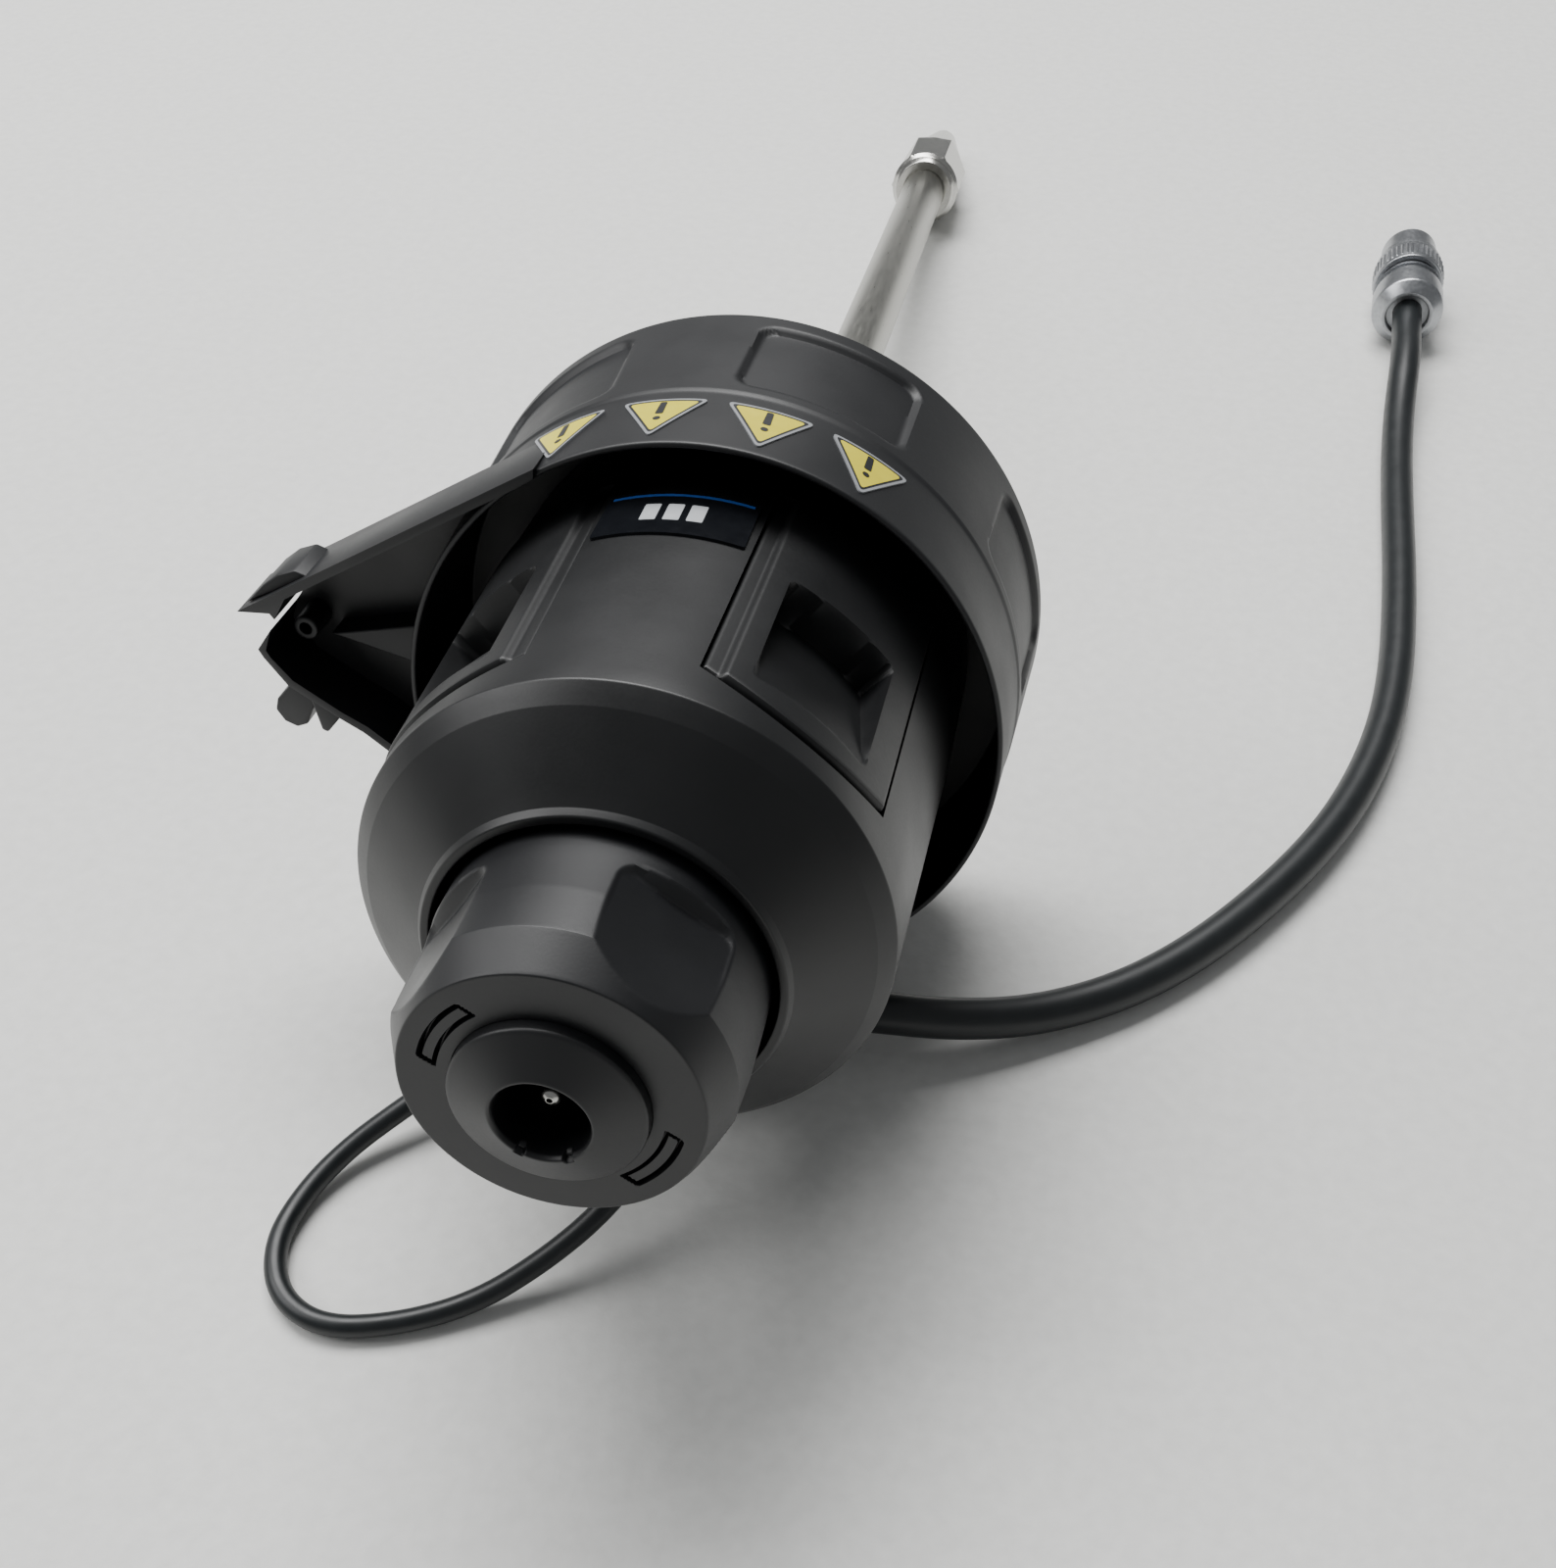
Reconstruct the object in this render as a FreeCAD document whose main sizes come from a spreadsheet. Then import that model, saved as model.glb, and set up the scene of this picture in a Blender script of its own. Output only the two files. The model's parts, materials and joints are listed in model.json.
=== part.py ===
"""Ion source probe: a hand-turned spray probe with a locking ring, drawn in millimetres.

Every piece is first drawn on the probe's own axis: the origin is where the axis meets the
locking ring's back plane, +Z runs towards the adjuster knob, +X is right and +Y is up as the
operator sees it. The finished probe is then laid down on its ring and its nozzle, with +Z up,
+Y towards the nozzle and the origin under the middle of the object.
"""
import FreeCAD, Part
import Sketcher
import math
import os
import re

V = FreeCAD.Vector

SIZES = {
    # locking ring and its lever arm
    "ring_radius": 41.2, "ring_front_radius": 39.0, "ring_length": 35.2, "ring_wall": 2.3,
    "ring_lip": 0.9, "rim_chamfer": 0.4, "web_back": 8.1, "web_thickness": 3.9, "ring_play": 0.2,
    "arm_back": 25.5, "arm_front": 36.0, "arm_web": 2.0, "arm_reach": 61.0, "arm_tangent": 30.0,
    "arm_wall": 2.0, "arm_boss_radius": 1.8, "stub_radius": 2.2,
    # housing
    "body_radius": 32.2, "body_front_radius": 30.9, "draft_start": 30.0, "front_chamfer": 74.2,
    "cone_start_radius": 29.0, "cone_start": 76.2, "lip_radius": 20.4, "lip_front": 83.2,
    "body_wall": 2.6, "spigot_radius": 27.0, "spigot_bore": 22.5, "cavity_back": 16.0,
    "cavity_front": 71.0, "sleeve_wall": 2.2, "sleeve_back": 62.0, "housing_yaw": 3.4,
    # fits
    "running": 0.08, "panel_gap": 0.4, "front_gap": 0.9, "free": 0.3,
    # adjuster knob
    "knob_bore": 19.4, "knob_face_radius": 16.0, "knob_face": 102.6, "knob_edge": 98.0,
    "knob_edge_radius": 18.2, "knob_radius": 18.5, "knob_neck": 17.6, "knob_back": 58.5,
    "knob_hollow": 14.2, "knob_plate": 4.2, "scallop_floor": 16.7, "scallop_back": 86.3,
    "scallop_width": 14.4, "scallop_turn": 55.6, "window_inner": 11.8, "window_outer": 13.9,
    "window_half": 21.0, "window_turn": 147.5, "clip_depth": 0.8, "clip_width": 1.0,
    "clip_rise": 3.2, "bush_front": 70.2,
    # inlet port insert in the knob
    "port_radius": 10.4, "port_edge": 104.0, "port_front": 106.2, "port_bore": 5.0,
    "port_flange": 1.9, "tab_gap": 0.35,
    # drive nut, carriage and inlet union
    "nut_back": 74.0, "nut_front": 90.0, "carriage_radius": 8.9, "carriage_bore": 3.4,
    "carriage_back": 34.0, "carriage_front": 94.0, "slot_back": 42.0, "slot_front": 50.0,
    "slot_floor": 6.6, "key_radius": 1.2, "union_radius": 3.3, "union_back": 84.0,
    "union_nose": 2.4, "union_front": 96.0, "needle_bore": 0.9, "needle_radius": 0.6,
    "ferrule_length": 4.0, "ferrule_radius": 2.2,
    # inner frame, manifold and flange
    "frame_radius": 15.5, "frame_back": 24.0, "frame_foot": 3.0, "frame_foot_radius": 24.0,
    "frame_front": 56.0, "manifold_gap": 0.2, "flange_radius": 31.0, "flange_back": 3.0,
    "board_thickness": 1.6, "board_inner": 16.5, "board_outer": 23.5, "board_lift": 0.4,
    "screw_circle": 24.75, "screw_radius": 1.25, "screw_head": 2.3, "head_depth": 1.6,
    "screw_reach": 14.0, "seal_circle": 13.0, "seal_section": 1.2, "gas_hole": 1.6,
    "gas_circle": 18.0, "gas_seal": 2.6, "gas_section": 0.8,
    # shaft, nozzle and needle
    "shaft_radius": 4.75, "shaft_bore": 3.0, "shaft_inside": 22.0, "nozzle_back": 203.0,
    "nozzle_seat": 207.0, "nozzle_hex_end": 222.0, "nozzle_end": 245.0, "nozzle_radius": 8.0,
    "nozzle_collar": 7.0, "nozzle_flats": 13.9, "nozzle_nose": 3.2, "needle_end": 247.0,
    "liner_radius": 1.5, "liner_front": 40.0, "liner_end": 200.0,
    # side grips
    "grip_angle": 41.5, "grip_half": 12.3, "grip_back": 29.3, "grip_front": 70.2,
    "grip_curve": 29.2, "grip_proud": 0.3, "grip_inner": 25.0, "grip_blank": 20.0,
    "blank_margin": 2.0, "hinge_height": 26.6,
    "hinge_z": 31.0, "hinge_radius": 1.0, "hinge_end": 15.4, "pocket_half": 7.7,
    "pocket_deep": 46.5, "pocket_shallow": 66.5, "pocket_depth": 5.4, "coil_radius": 1.6,
    "coil_wire": 0.3, "coil_pitch": 0.85, "coil_turns": 6.0, "notch_half": 3.3,
    "notch_reach": 2.6,
    # labels
    "label_back": 34.0, "label_front": 44.0, "label_angle": 32.6, "label_thickness": 0.35,
    "triangle_radius": 6.2, "triangle_middle": 27.6, "triangle_pitch": 18.6,
    "triangle_thickness": 0.25,
    # cable outlet under the housing
    "outlet_half": 7.5, "outlet_back": 36.0, "outlet_front": 56.0, "outlet_drop": 42.4,
    "outlet_exit_drop": 38.6, "cable_exit_z": 42.0, "lead_exit_z": 48.0, "wire_hole": 3.5,
    "gland_length": 13.0, "lead_straight": 8.0, "gland_root": 5.4, "gland_tip": 4.0,
    # cable, lead and plug
    "cable_radius": 3.0, "lead_radius": 1.5, "plug_radius": 7.5, "plug_nut_length": 8.0,
    "plug_band": 6.6, "plug_body_start": 8.0, "plug_core": 6.2,
    "plug_sleeve_start": 12.8, "plug_sleeve_length": 7.2, "plug_nose": 29.0,
    "plug_nose_radius": 5.8, "plug_collar": 6.8, "plug_nose_bore": 4.9, "insert_back": 17.0,
    "insert_front": 26.5, "plug_recess": 1.6, "plug_mouth": 4.4, "cable_grip": 1.0,
    "pin_radius": 0.5, "pin_circle": 2.6, "pin_length": 4.0,
}

GRIPS = {
    "upper_right": "90 + housing_yaw - grip_angle",
    "upper_left": "90 + housing_yaw + grip_angle",
    "lower_left": "housing_yaw - 90 - grip_angle",
    "lower_right": "housing_yaw - 90 + grip_angle",
}

# Routes of the cable and the lead over the bench: x right, y towards the nozzle, z up, with
# the zero under the ring's back plane. Their ends are added from the pieces they run into.
CABLE_ROUTE = [
    (38.0, -43.4, 6.5), (50.5, -37.4, 3.6), (63.5, -28.6, 3.0), (76.2, -15.0, 3.0),
    (90.1, 6.0, 3.0), (98.4, 26.2, 3.0), (103.0, 47.5, 3.0), (105.0, 75.5, 3.0),
    (105.7, 103.0, 3.0), (106.4, 121.0, 3.1), (107.3, 136.0, 4.3), (108.4, 150.0, 7.3),
    (109.0, 160.0, 7.5), (109.6, 170.0, 7.5),
]
LEAD_ROUTE = [
    (-21.5, -57.8, 7.6), (-28.5, -64.6, 6.4), (-35.0, -71.4, 4.6), (-41.0, -78.0, 2.6),
    (-44.6, -85.4, 1.6), (-45.6, -93.5, 1.5), (-42.2, -100.6, 1.5), (-35.2, -103.8, 1.5),
    (-26.0, -101.6, 1.5), (-17.2, -97.0, 1.8), (-9.8, -91.0, 4.2), (-3.4, -84.8, 7.8),
    (1.0, -77.4, 11.0),
]

doc = FreeCAD.newDocument("ion_source_probe")
sheet = doc.addObject("Spreadsheet::Sheet", "Sizes")
pieces = {}


def fill_sheet():
    """One row for each driving size: its name in column A, its value in column B."""
    for row, (alias, size) in enumerate(SIZES.items(), start=1):
        sheet.set("A%d" % row, alias)
        sheet.set("B%d" % row, str(size))
        sheet.setAlias("B%d" % row, alias)
    doc.recompute()


def bound(formula):
    """The formula with every size name pointed at the sheet."""
    return re.sub(r"\b(?!sin\b|cos\b|tan\b|sqrt\b|atan\b)[a-z_]+\b", r"Sizes.\g<0>", str(formula))


def value(formula):
    """The number that a formula has now."""
    return float(sheet.evalExpression(bound(formula)))


def bind(thing, prop, formula):
    thing.setExpression(prop, bound(formula))


def keep(label, thing):
    """Name a finished piece, which is written to its own file."""
    thing.Label = label
    pieces[label] = thing
    return thing


# ---- sketches and features ----------------------------------------------------------------
def new_body(name):
    return doc.addObject("PartDesign::Body", name)


def origin_of(body, role):
    return [item for item in body.Origin.OriginFeatures if item.Role == role][0]


def blank_sketch(body, role, offset):
    sketch = body.newObject("Sketcher::SketchObject", body.Name + "_sketch")
    sketch.AttachmentSupport = [(origin_of(body, role), "")]
    sketch.MapMode = "FlatFace"
    bind(sketch, "AttachmentOffset.Base.z", offset)
    return sketch


def fix_point(sketch, place, corner):
    """Tie a sketch point to the sheet by its two distances from the sketch's origin."""
    for kind, formula in zip(("DistanceX", "DistanceY"), corner):
        rule = Sketcher.Constraint(kind, -1, 1, place[0], place[1], value(formula))
        index = sketch.addConstraint(rule)
        bind(sketch, "Constraints[%d]" % index, formula)


def arc_edge(start, end, radius):
    """A short arc between two corners; a negative radius puts its middle on the right."""
    chord = end - start
    side = V(-chord.y, chord.x, 0).normalize()
    rise = math.sqrt(radius * radius - chord.Length * chord.Length / 4)
    middle = (start + end) * 0.5 + side * math.copysign(rise, radius)
    first, last = (start, end) if radius > 0 else (end, start)
    angles = [math.atan2(p.y - middle.y, p.x - middle.x) for p in (first, last)]
    return Part.ArcOfCircle(Part.Circle(middle, V(0, 0, 1), abs(radius)), angles[0], angles[1])


def outline(body, role, corners, arcs=None, offset="0"):
    """A closed outline of straight edges, with an arc for each edge that arcs names."""
    arcs = arcs or {}
    sketch = blank_sketch(body, role, offset)
    points = [V(value(corner[0]), value(corner[1]), 0) for corner in corners]
    starts = []
    ends = []
    for index, start in enumerate(points):
        end = points[(index + 1) % len(points)]
        if index not in arcs:
            sketch.addGeometry(Part.LineSegment(start, end), False)
            starts.append((index, 1))
            ends.append((index, 2))
            continue
        radius = value(arcs[index])
        sketch.addGeometry(arc_edge(start, end, radius), False)
        starts.append((index, 1 if radius > 0 else 2))
        ends.append((index, 2 if radius > 0 else 1))
    for index in range(len(points)):
        after = starts[(index + 1) % len(points)]
        sketch.addConstraint(Sketcher.Constraint("Coincident", *ends[index], *after))
    for place, corner in zip(starts, corners):
        fix_point(sketch, place, corner)
    for index, radius in arcs.items():
        rule = Sketcher.Constraint("Radius", index, abs(value(radius)))
        bind(sketch, "Constraints[%d]" % sketch.addConstraint(rule), "sqrt((%s)^2)" % radius)
    return sketch


def circle(body, role, centre, radius, offset="0"):
    sketch = blank_sketch(body, role, offset)
    middle = V(value(centre[0]), value(centre[1]), 0)
    sketch.addGeometry(Part.Circle(middle, V(0, 0, 1), value(radius)), False)
    fix_point(sketch, (0, 3), centre)
    index = sketch.addConstraint(Sketcher.Constraint("Radius", 0, value(radius)))
    bind(sketch, "Constraints[%d]" % index, radius)
    return sketch


def turn(body, kind, corners, arc="360"):
    """Turn an outline of (radius, height) corners about the axis: a Revolution or a Groove."""
    sketch = outline(body, "XZ_Plane", corners)
    before = body.Shape.Volume if kind == "Groove" else 0
    feature = body.newObject("PartDesign::" + kind, body.Name + "_" + kind.lower())
    feature.Profile = (sketch, [""])
    feature.ReferenceAxis = (sketch, ["V_Axis"])
    feature.Midplane = True
    bind(feature, "Angle", arc)
    doc.recompute()
    if kind == "Groove" and feature.Shape.Volume >= before:
        raise RuntimeError("a groove removes nothing from " + body.Name)
    return feature


def extrude(body, kind, sketch, length):
    """Pad or pocket a sketch by the same amount to both sides of its plane."""
    before = body.Shape.Volume if body.Shape and not body.Shape.isNull() else 0
    feature = body.newObject("PartDesign::" + kind, body.Name + "_" + kind.lower())
    feature.Profile = (sketch, [""])
    feature.SideType = "Symmetric"
    bind(feature, "Length", length)
    doc.recompute()
    grew = feature.Shape.Volume - before
    if (kind == "Pad") != (grew > 0):
        raise RuntimeError("a %s changes nothing in %s" % (kind, body.Name))
    return feature


def repeat(body, feature, count):
    """Repeat a feature evenly round the body's axis."""
    pattern = body.newObject("PartDesign::PolarPattern", body.Name + "_pattern")
    pattern.Originals = [feature]
    pattern.Axis = (origin_of(body, "Z_Axis"), [""])
    pattern.Angle = 360
    pattern.Occurrences = count
    body.Tip = pattern
    doc.recompute()
    return pattern


def turned(label, corners, arc="360"):
    """A piece that is one outline turned about the axis."""
    body = new_body(label)
    turn(body, "Revolution", corners, arc)
    return keep(label, body)


def sleeve(inner, outer, back, front):
    """The four corners of a plain tube's wall."""
    return [(inner, back), (outer, back), (outer, front), (inner, front)]


def about_axis(thing, formula):
    """Turn a piece about the probe's axis by a number of degrees from the sheet."""
    thing.Placement = FreeCAD.Placement(V(0, 0, 0), FreeCAD.Rotation(V(0, 0, 1), value(formula)))


def cut_from(label, base, tools):
    """Take tools away from a base with Part booleans."""
    joined = doc.addObject("Part::MultiFuse", label + "_cutters")
    joined.Shapes = tools
    result = doc.addObject("Part::Cut", label)
    result.Base = base
    result.Tool = joined
    doc.recompute()
    return result


def moved(shapes, label):
    """A group of separate solids under one name."""
    group = doc.addObject("Part::Feature", label)
    group.Shape = Part.makeCompound(shapes)
    return keep(label, group)


# ---- housing ------------------------------------------------------------------------------
BODY_SLOPE = "(body_radius - body_front_radius) / (front_chamfer - draft_start)"


def body_surface(height):
    """Radius of the housing's drafted side at a height."""
    return "body_radius - (%s - draft_start) * %s" % (height, BODY_SLOPE)


def grip_plan(body, gap, front_gap, offset):
    """Outline of a side grip, or of its window when the gaps are more than nothing."""
    half = "grip_half + %s" % gap
    curve = "grip_curve + %s" % front_gap
    middle = "grip_front - grip_curve"
    side = "%s + sqrt((%s)^2 - (%s)^2)" % (middle, curve, half)
    back = "grip_back - %s" % gap
    corners = [("-(%s)" % half, back), (half, back), (half, side), ("-(%s)" % half, side)]
    return outline(body, "YZ_Plane", corners, {2: curve}, offset)


def housing_blank():
    shoulder = "web_back + web_thickness + ring_play"
    inner = "body_radius - body_wall"
    body = new_body("housing_blank")
    turn(body, "Revolution", [
        ("knob_bore", "sleeve_back"), ("knob_bore", "lip_front"), ("lip_radius", "lip_front"),
        ("lip_radius + 0.4", "lip_front - 0.8"), ("cone_start_radius", "cone_start"),
        ("body_front_radius", "front_chamfer"), ("body_radius", "draft_start"),
        ("body_radius", shoulder), ("spigot_radius", shoulder),
        ("spigot_radius", "web_back - ring_play"), ("spigot_bore", "web_back - ring_play"),
        ("spigot_bore", "cavity_back"), (inner, "cavity_back"), (inner, "draft_start"),
        ("body_front_radius - body_wall", "cavity_front"),
        ("knob_bore + sleeve_wall", "cavity_front"), ("knob_bore + sleeve_wall", "sleeve_back"),
    ])
    return body


def window_cutter(name, angle):
    """The window in the housing that one side grip lies in."""
    body = new_body("window_" + name)
    sketch = grip_plan(body, "panel_gap", "front_gap", "(grip_inner + body_radius) / 2 + 2")
    extrude(body, "Pad", sketch, "body_radius - grip_inner + 4")
    about_axis(body, angle)
    return body


def pin_cutter(name, angle):
    """The bore for one grip's hinge pin, which ends inside the housing's wall."""
    body = new_body("pin_bore_" + name)
    sketch = circle(body, "XZ_Plane", ("hinge_height", "hinge_z"), "hinge_radius")
    extrude(body, "Pad", sketch, "2 * hinge_end")
    about_axis(body, angle)
    return body


def wire_cutter():
    """The hole that the wires go through, from the cable outlet into the housing."""
    body = new_body("wire_hole")
    middle = "body_radius - body_wall / 2"
    sketch = circle(body, "XZ_Plane", ("0", "(outlet_back + outlet_front) / 2"),
                    "wire_hole", middle)
    extrude(body, "Pad", sketch, "body_wall * 3")
    about_axis(body, "housing_yaw")
    return body


def screw_cutter():
    """The four threaded holes in the spigot's end."""
    body = new_body("screw_holes")
    sketch = circle(body, "XY_Plane", ("screw_circle", "0"), "screw_radius", "web_back")
    hole = extrude(body, "Pad", sketch, "2 * (screw_reach - web_back)")
    about_axis(body, "45")
    repeat(body, hole, 4)
    return body


def housing_shell():
    cutters = [wire_cutter(), screw_cutter()]
    for name, angle in GRIPS.items():
        cutters.append(window_cutter(name, angle))
        cutters.append(pin_cutter(name, angle))
    keep("housing_shell", cut_from("housing_shell", housing_blank(), cutters))


def label_plate():
    """The dark name plate on top of the housing, bent to its side."""
    back = body_surface("label_back")
    front = body_surface("label_front")
    plate = turned("label_plate", [
        (back, "label_back"), (back + " + label_thickness", "label_back"),
        (front + " + label_thickness", "label_front"), (front, "label_front"),
    ], "label_angle")
    about_axis(plate, "90 + housing_yaw")


def cable_outlet():
    """Moulded block under the housing that the cable and the lead come out of."""
    body = new_body("cable_outlet")
    half = "outlet_half"
    sketch = outline(body, "XY_Plane", [
        ("-(%s)" % half, "-(outlet_drop)"), (half, "-(outlet_drop)"),
        (half, "-(body_front_radius - 6)"), ("-(%s)" % half, "-(body_front_radius - 6)"),
    ], None, "(outlet_back + outlet_front) / 2")
    extrude(body, "Pad", sketch, "outlet_front - outlet_back")
    turn(body, "Groove", [
        ("0", "draft_start"), ("body_radius", "draft_start"),
        ("body_front_radius", "front_chamfer"), ("0", "front_chamfer"),
    ])
    middle = "(outlet_back + outlet_front) / 2"
    sketch = circle(body, "XZ_Plane", ("0", middle), "wire_hole", "body_front_radius")
    extrude(body, "Pocket", sketch, "6")
    about_axis(body, "housing_yaw")
    keep("cable_outlet", body)


def outlet_point(across, height):
    """A point at the cords' level of the outlet, which is turned with the housing."""
    point = V(value(across), -value("outlet_exit_drop"), value(height))
    return FreeCAD.Rotation(V(0, 0, 1), value("housing_yaw")).multVec(point)


def cable_gland():
    """Tapered strain relief on the outlet's right side, bored for the cable."""
    body = new_body("cable_gland")
    turn(body, "Revolution", [
        ("cable_radius", "0"), ("gland_root", "0"), ("gland_root", "2"),
        ("gland_tip", "gland_length"), ("cable_radius", "gland_length"),
    ])
    sideways = FreeCAD.Rotation(V(0, 0, 1), value("housing_yaw"))
    exit_point = outlet_point("outlet_half", "cable_exit_z")
    body.Placement = FreeCAD.Placement(
        exit_point, sideways.multiply(FreeCAD.Rotation(V(0, 1, 0), 90)))
    keep("cable_gland", body)


# ---- back flange, manifold and inner frame -------------------------------------------------
def rear_flange():
    body = new_body("rear_flange")
    front = "web_back - ring_play"
    thickness = "(%s - flange_back)" % front
    turn(body, "Revolution", sleeve("shaft_radius", "flange_radius", "flange_back", front))
    turn(body, "Groove", [
        ("seal_circle - seal_section", "flange_back - 1"),
        ("seal_circle + seal_section", "flange_back - 1"),
        ("seal_circle + seal_section", "flange_back + seal_section * 1.6"),
        ("seal_circle - seal_section", "flange_back + seal_section * 1.6"),
    ])
    for radius, depth in (("screw_radius", thickness), ("screw_head", "head_depth")):
        sketch = circle(body, "XY_Plane", ("screw_circle * cos(45)", "screw_circle * sin(45)"),
                        radius, "flange_back")
        repeat(body, extrude(body, "Pocket", sketch, "2 * " + depth), 4)
    for radius, depth in (("gas_hole", thickness), ("gas_seal + gas_section", "gas_section * 1.6")):
        sketch = circle(body, "XY_Plane", ("gas_circle", "0"), radius, "flange_back")
        repeat(body, extrude(body, "Pocket", sketch, "2 * " + depth), 2)
    keep("rear_flange", body)


def flange_screws():
    """Four socket screws that hold the flange on the spigot."""
    back = value("flange_back")
    depth = value("head_depth")
    screws = []
    for quarter in range(4):
        angle = math.radians(45 + 90 * quarter)
        place = V(math.cos(angle), math.sin(angle), 0) * value("screw_circle")
        head = Part.makeCylinder(value("screw_head") - 0.1, depth, place + V(0, 0, back))
        shank = Part.makeCylinder(value("screw_radius"), value("screw_reach") - back - depth,
                                  place + V(0, 0, back + depth))
        socket = Part.makeCylinder(value("screw_radius") * 0.8, depth / 2, place + V(0, 0, back))
        screws.append(head.fuse(shank).cut(socket).removeSplitter())
    moved(screws, "flange_screws")


def seals():
    """The face seal round the shaft, and the two small seals of the gas ports."""
    back = value("flange_back")
    section = value("seal_section")
    face = Part.makeTorus(value("seal_circle"), section, V(0, 0, back + 0.6 * section))
    moved([face], "face_seal")
    gas = value("gas_section")
    rings = []
    for side in (-1, 1):
        place = V(side * value("gas_circle"), 0, back + 0.6 * gas)
        rings.append(Part.makeTorus(value("gas_seal"), gas, place))
    moved(rings, "gas_port_seals")


def gas_manifold():
    body = new_body("gas_manifold")
    turn(body, "Revolution", sleeve("shaft_radius", "spigot_bore - manifold_gap",
                                    "web_back - ring_play", "frame_back"))
    sketch = circle(body, "XY_Plane", ("gas_circle", "0"), "gas_hole", "web_back")
    repeat(body, extrude(body, "Pocket", sketch, "2 * (frame_back - web_back - 5)"), 2)
    keep("gas_manifold", body)


def inner_frame():
    """Guide tube on a foot, in which the carriage slides."""
    bore = "carriage_radius + running"
    foot = "frame_back + frame_foot"
    body = new_body("inner_frame")
    turn(body, "Revolution", [
        (bore, "frame_back"), ("frame_foot_radius", "frame_back"), ("frame_foot_radius", foot),
        ("frame_radius", foot), ("frame_radius", "frame_front"), (bore, "frame_front"),
    ])
    sketch = circle(body, "XZ_Plane", ("0", "(slot_back + slot_front) / 2"), "key_radius",
                    "-(carriage_radius + frame_radius) / 2")
    extrude(body, "Pocket", sketch, "(frame_radius - carriage_radius) * 1.5")
    keep("inner_frame", body)


def guide_key():
    """The pin through the frame that stops the carriage from turning."""
    body = new_body("guide_key")
    sketch = circle(body, "XZ_Plane", ("0", "(slot_back + slot_front) / 2"), "key_radius",
                    "-(slot_floor + free + frame_radius) / 2")
    extrude(body, "Pad", sketch, "frame_radius - slot_floor - free")
    keep("guide_key", body)


def root_tubes():
    """Turned pieces that never move: board, bush, shaft and needle liner."""
    board = "frame_back + frame_foot + board_lift"
    turned("terminal_board", sleeve("board_inner", "board_outer", board,
                                    board + " + board_thickness"))
    turned("bearing_bush", sleeve("knob_neck + running", "knob_bore", "sleeve_back",
                                  "bush_front"))
    turned("shaft_tube", sleeve("shaft_bore", "shaft_radius", "-(nozzle_seat - 1)",
                                "shaft_inside"))
    turned("needle_liner", sleeve("needle_radius + running", "liner_radius", "-(liner_end)",
                                  "liner_front - 10"))


def nozzle():
    """Hexagon nut with a tapered nose, screwed on the shaft's end."""
    body = new_body("nebuliser_nozzle")
    turn(body, "Revolution", [
        ("shaft_radius", "-(nozzle_back)"), ("nozzle_collar - 0.5", "-(nozzle_back)"),
        ("nozzle_collar", "-(nozzle_back + 1)"), ("nozzle_collar", "-(nozzle_seat - 2)"),
        ("nozzle_radius", "-(nozzle_seat - 0.5)"), ("nozzle_radius", "-(nozzle_hex_end - 1)"),
        ("nozzle_collar", "-(nozzle_hex_end)"), ("nozzle_nose", "-(nozzle_end - 1)"),
        ("nozzle_nose - 0.8", "-(nozzle_end)"), ("needle_bore", "-(nozzle_end)"),
        ("needle_bore", "-(nozzle_seat + 3)"), ("shaft_bore", "-(nozzle_seat)"),
        ("shaft_radius", "-(nozzle_seat)"),
    ])
    sketch = outline(body, "XY_Plane", [
        ("-(nozzle_radius)", "nozzle_flats / 2"), ("nozzle_radius", "nozzle_flats / 2"),
        ("nozzle_radius", "nozzle_radius + 1"), ("-(nozzle_radius)", "nozzle_radius + 1"),
    ], None, "-(nozzle_seat + nozzle_hex_end) / 2")
    flat = extrude(body, "Pocket", sketch, "nozzle_hex_end - nozzle_seat + 4")
    repeat(body, flat, 6)
    keep("nebuliser_nozzle", body)


# ---- knob, port insert and drive -----------------------------------------------------------
def sector(body, inner, outer, half, offset, turn_by):
    """An outline between two arcs round the axis, turned by a number of degrees."""
    corners = []
    for radius, sign in ((inner, "-"), (outer, "-"), (outer, "+"), (inner, "+")):
        angle = "(%s) %s (%s)" % (turn_by, sign, half)
        corners.append(("(%s) * cos(%s)" % (radius, angle), "(%s) * sin(%s)" % (radius, angle)))
    return outline(body, "XY_Plane", corners, {1: outer, 3: "-(%s)" % inner}, offset)


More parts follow.
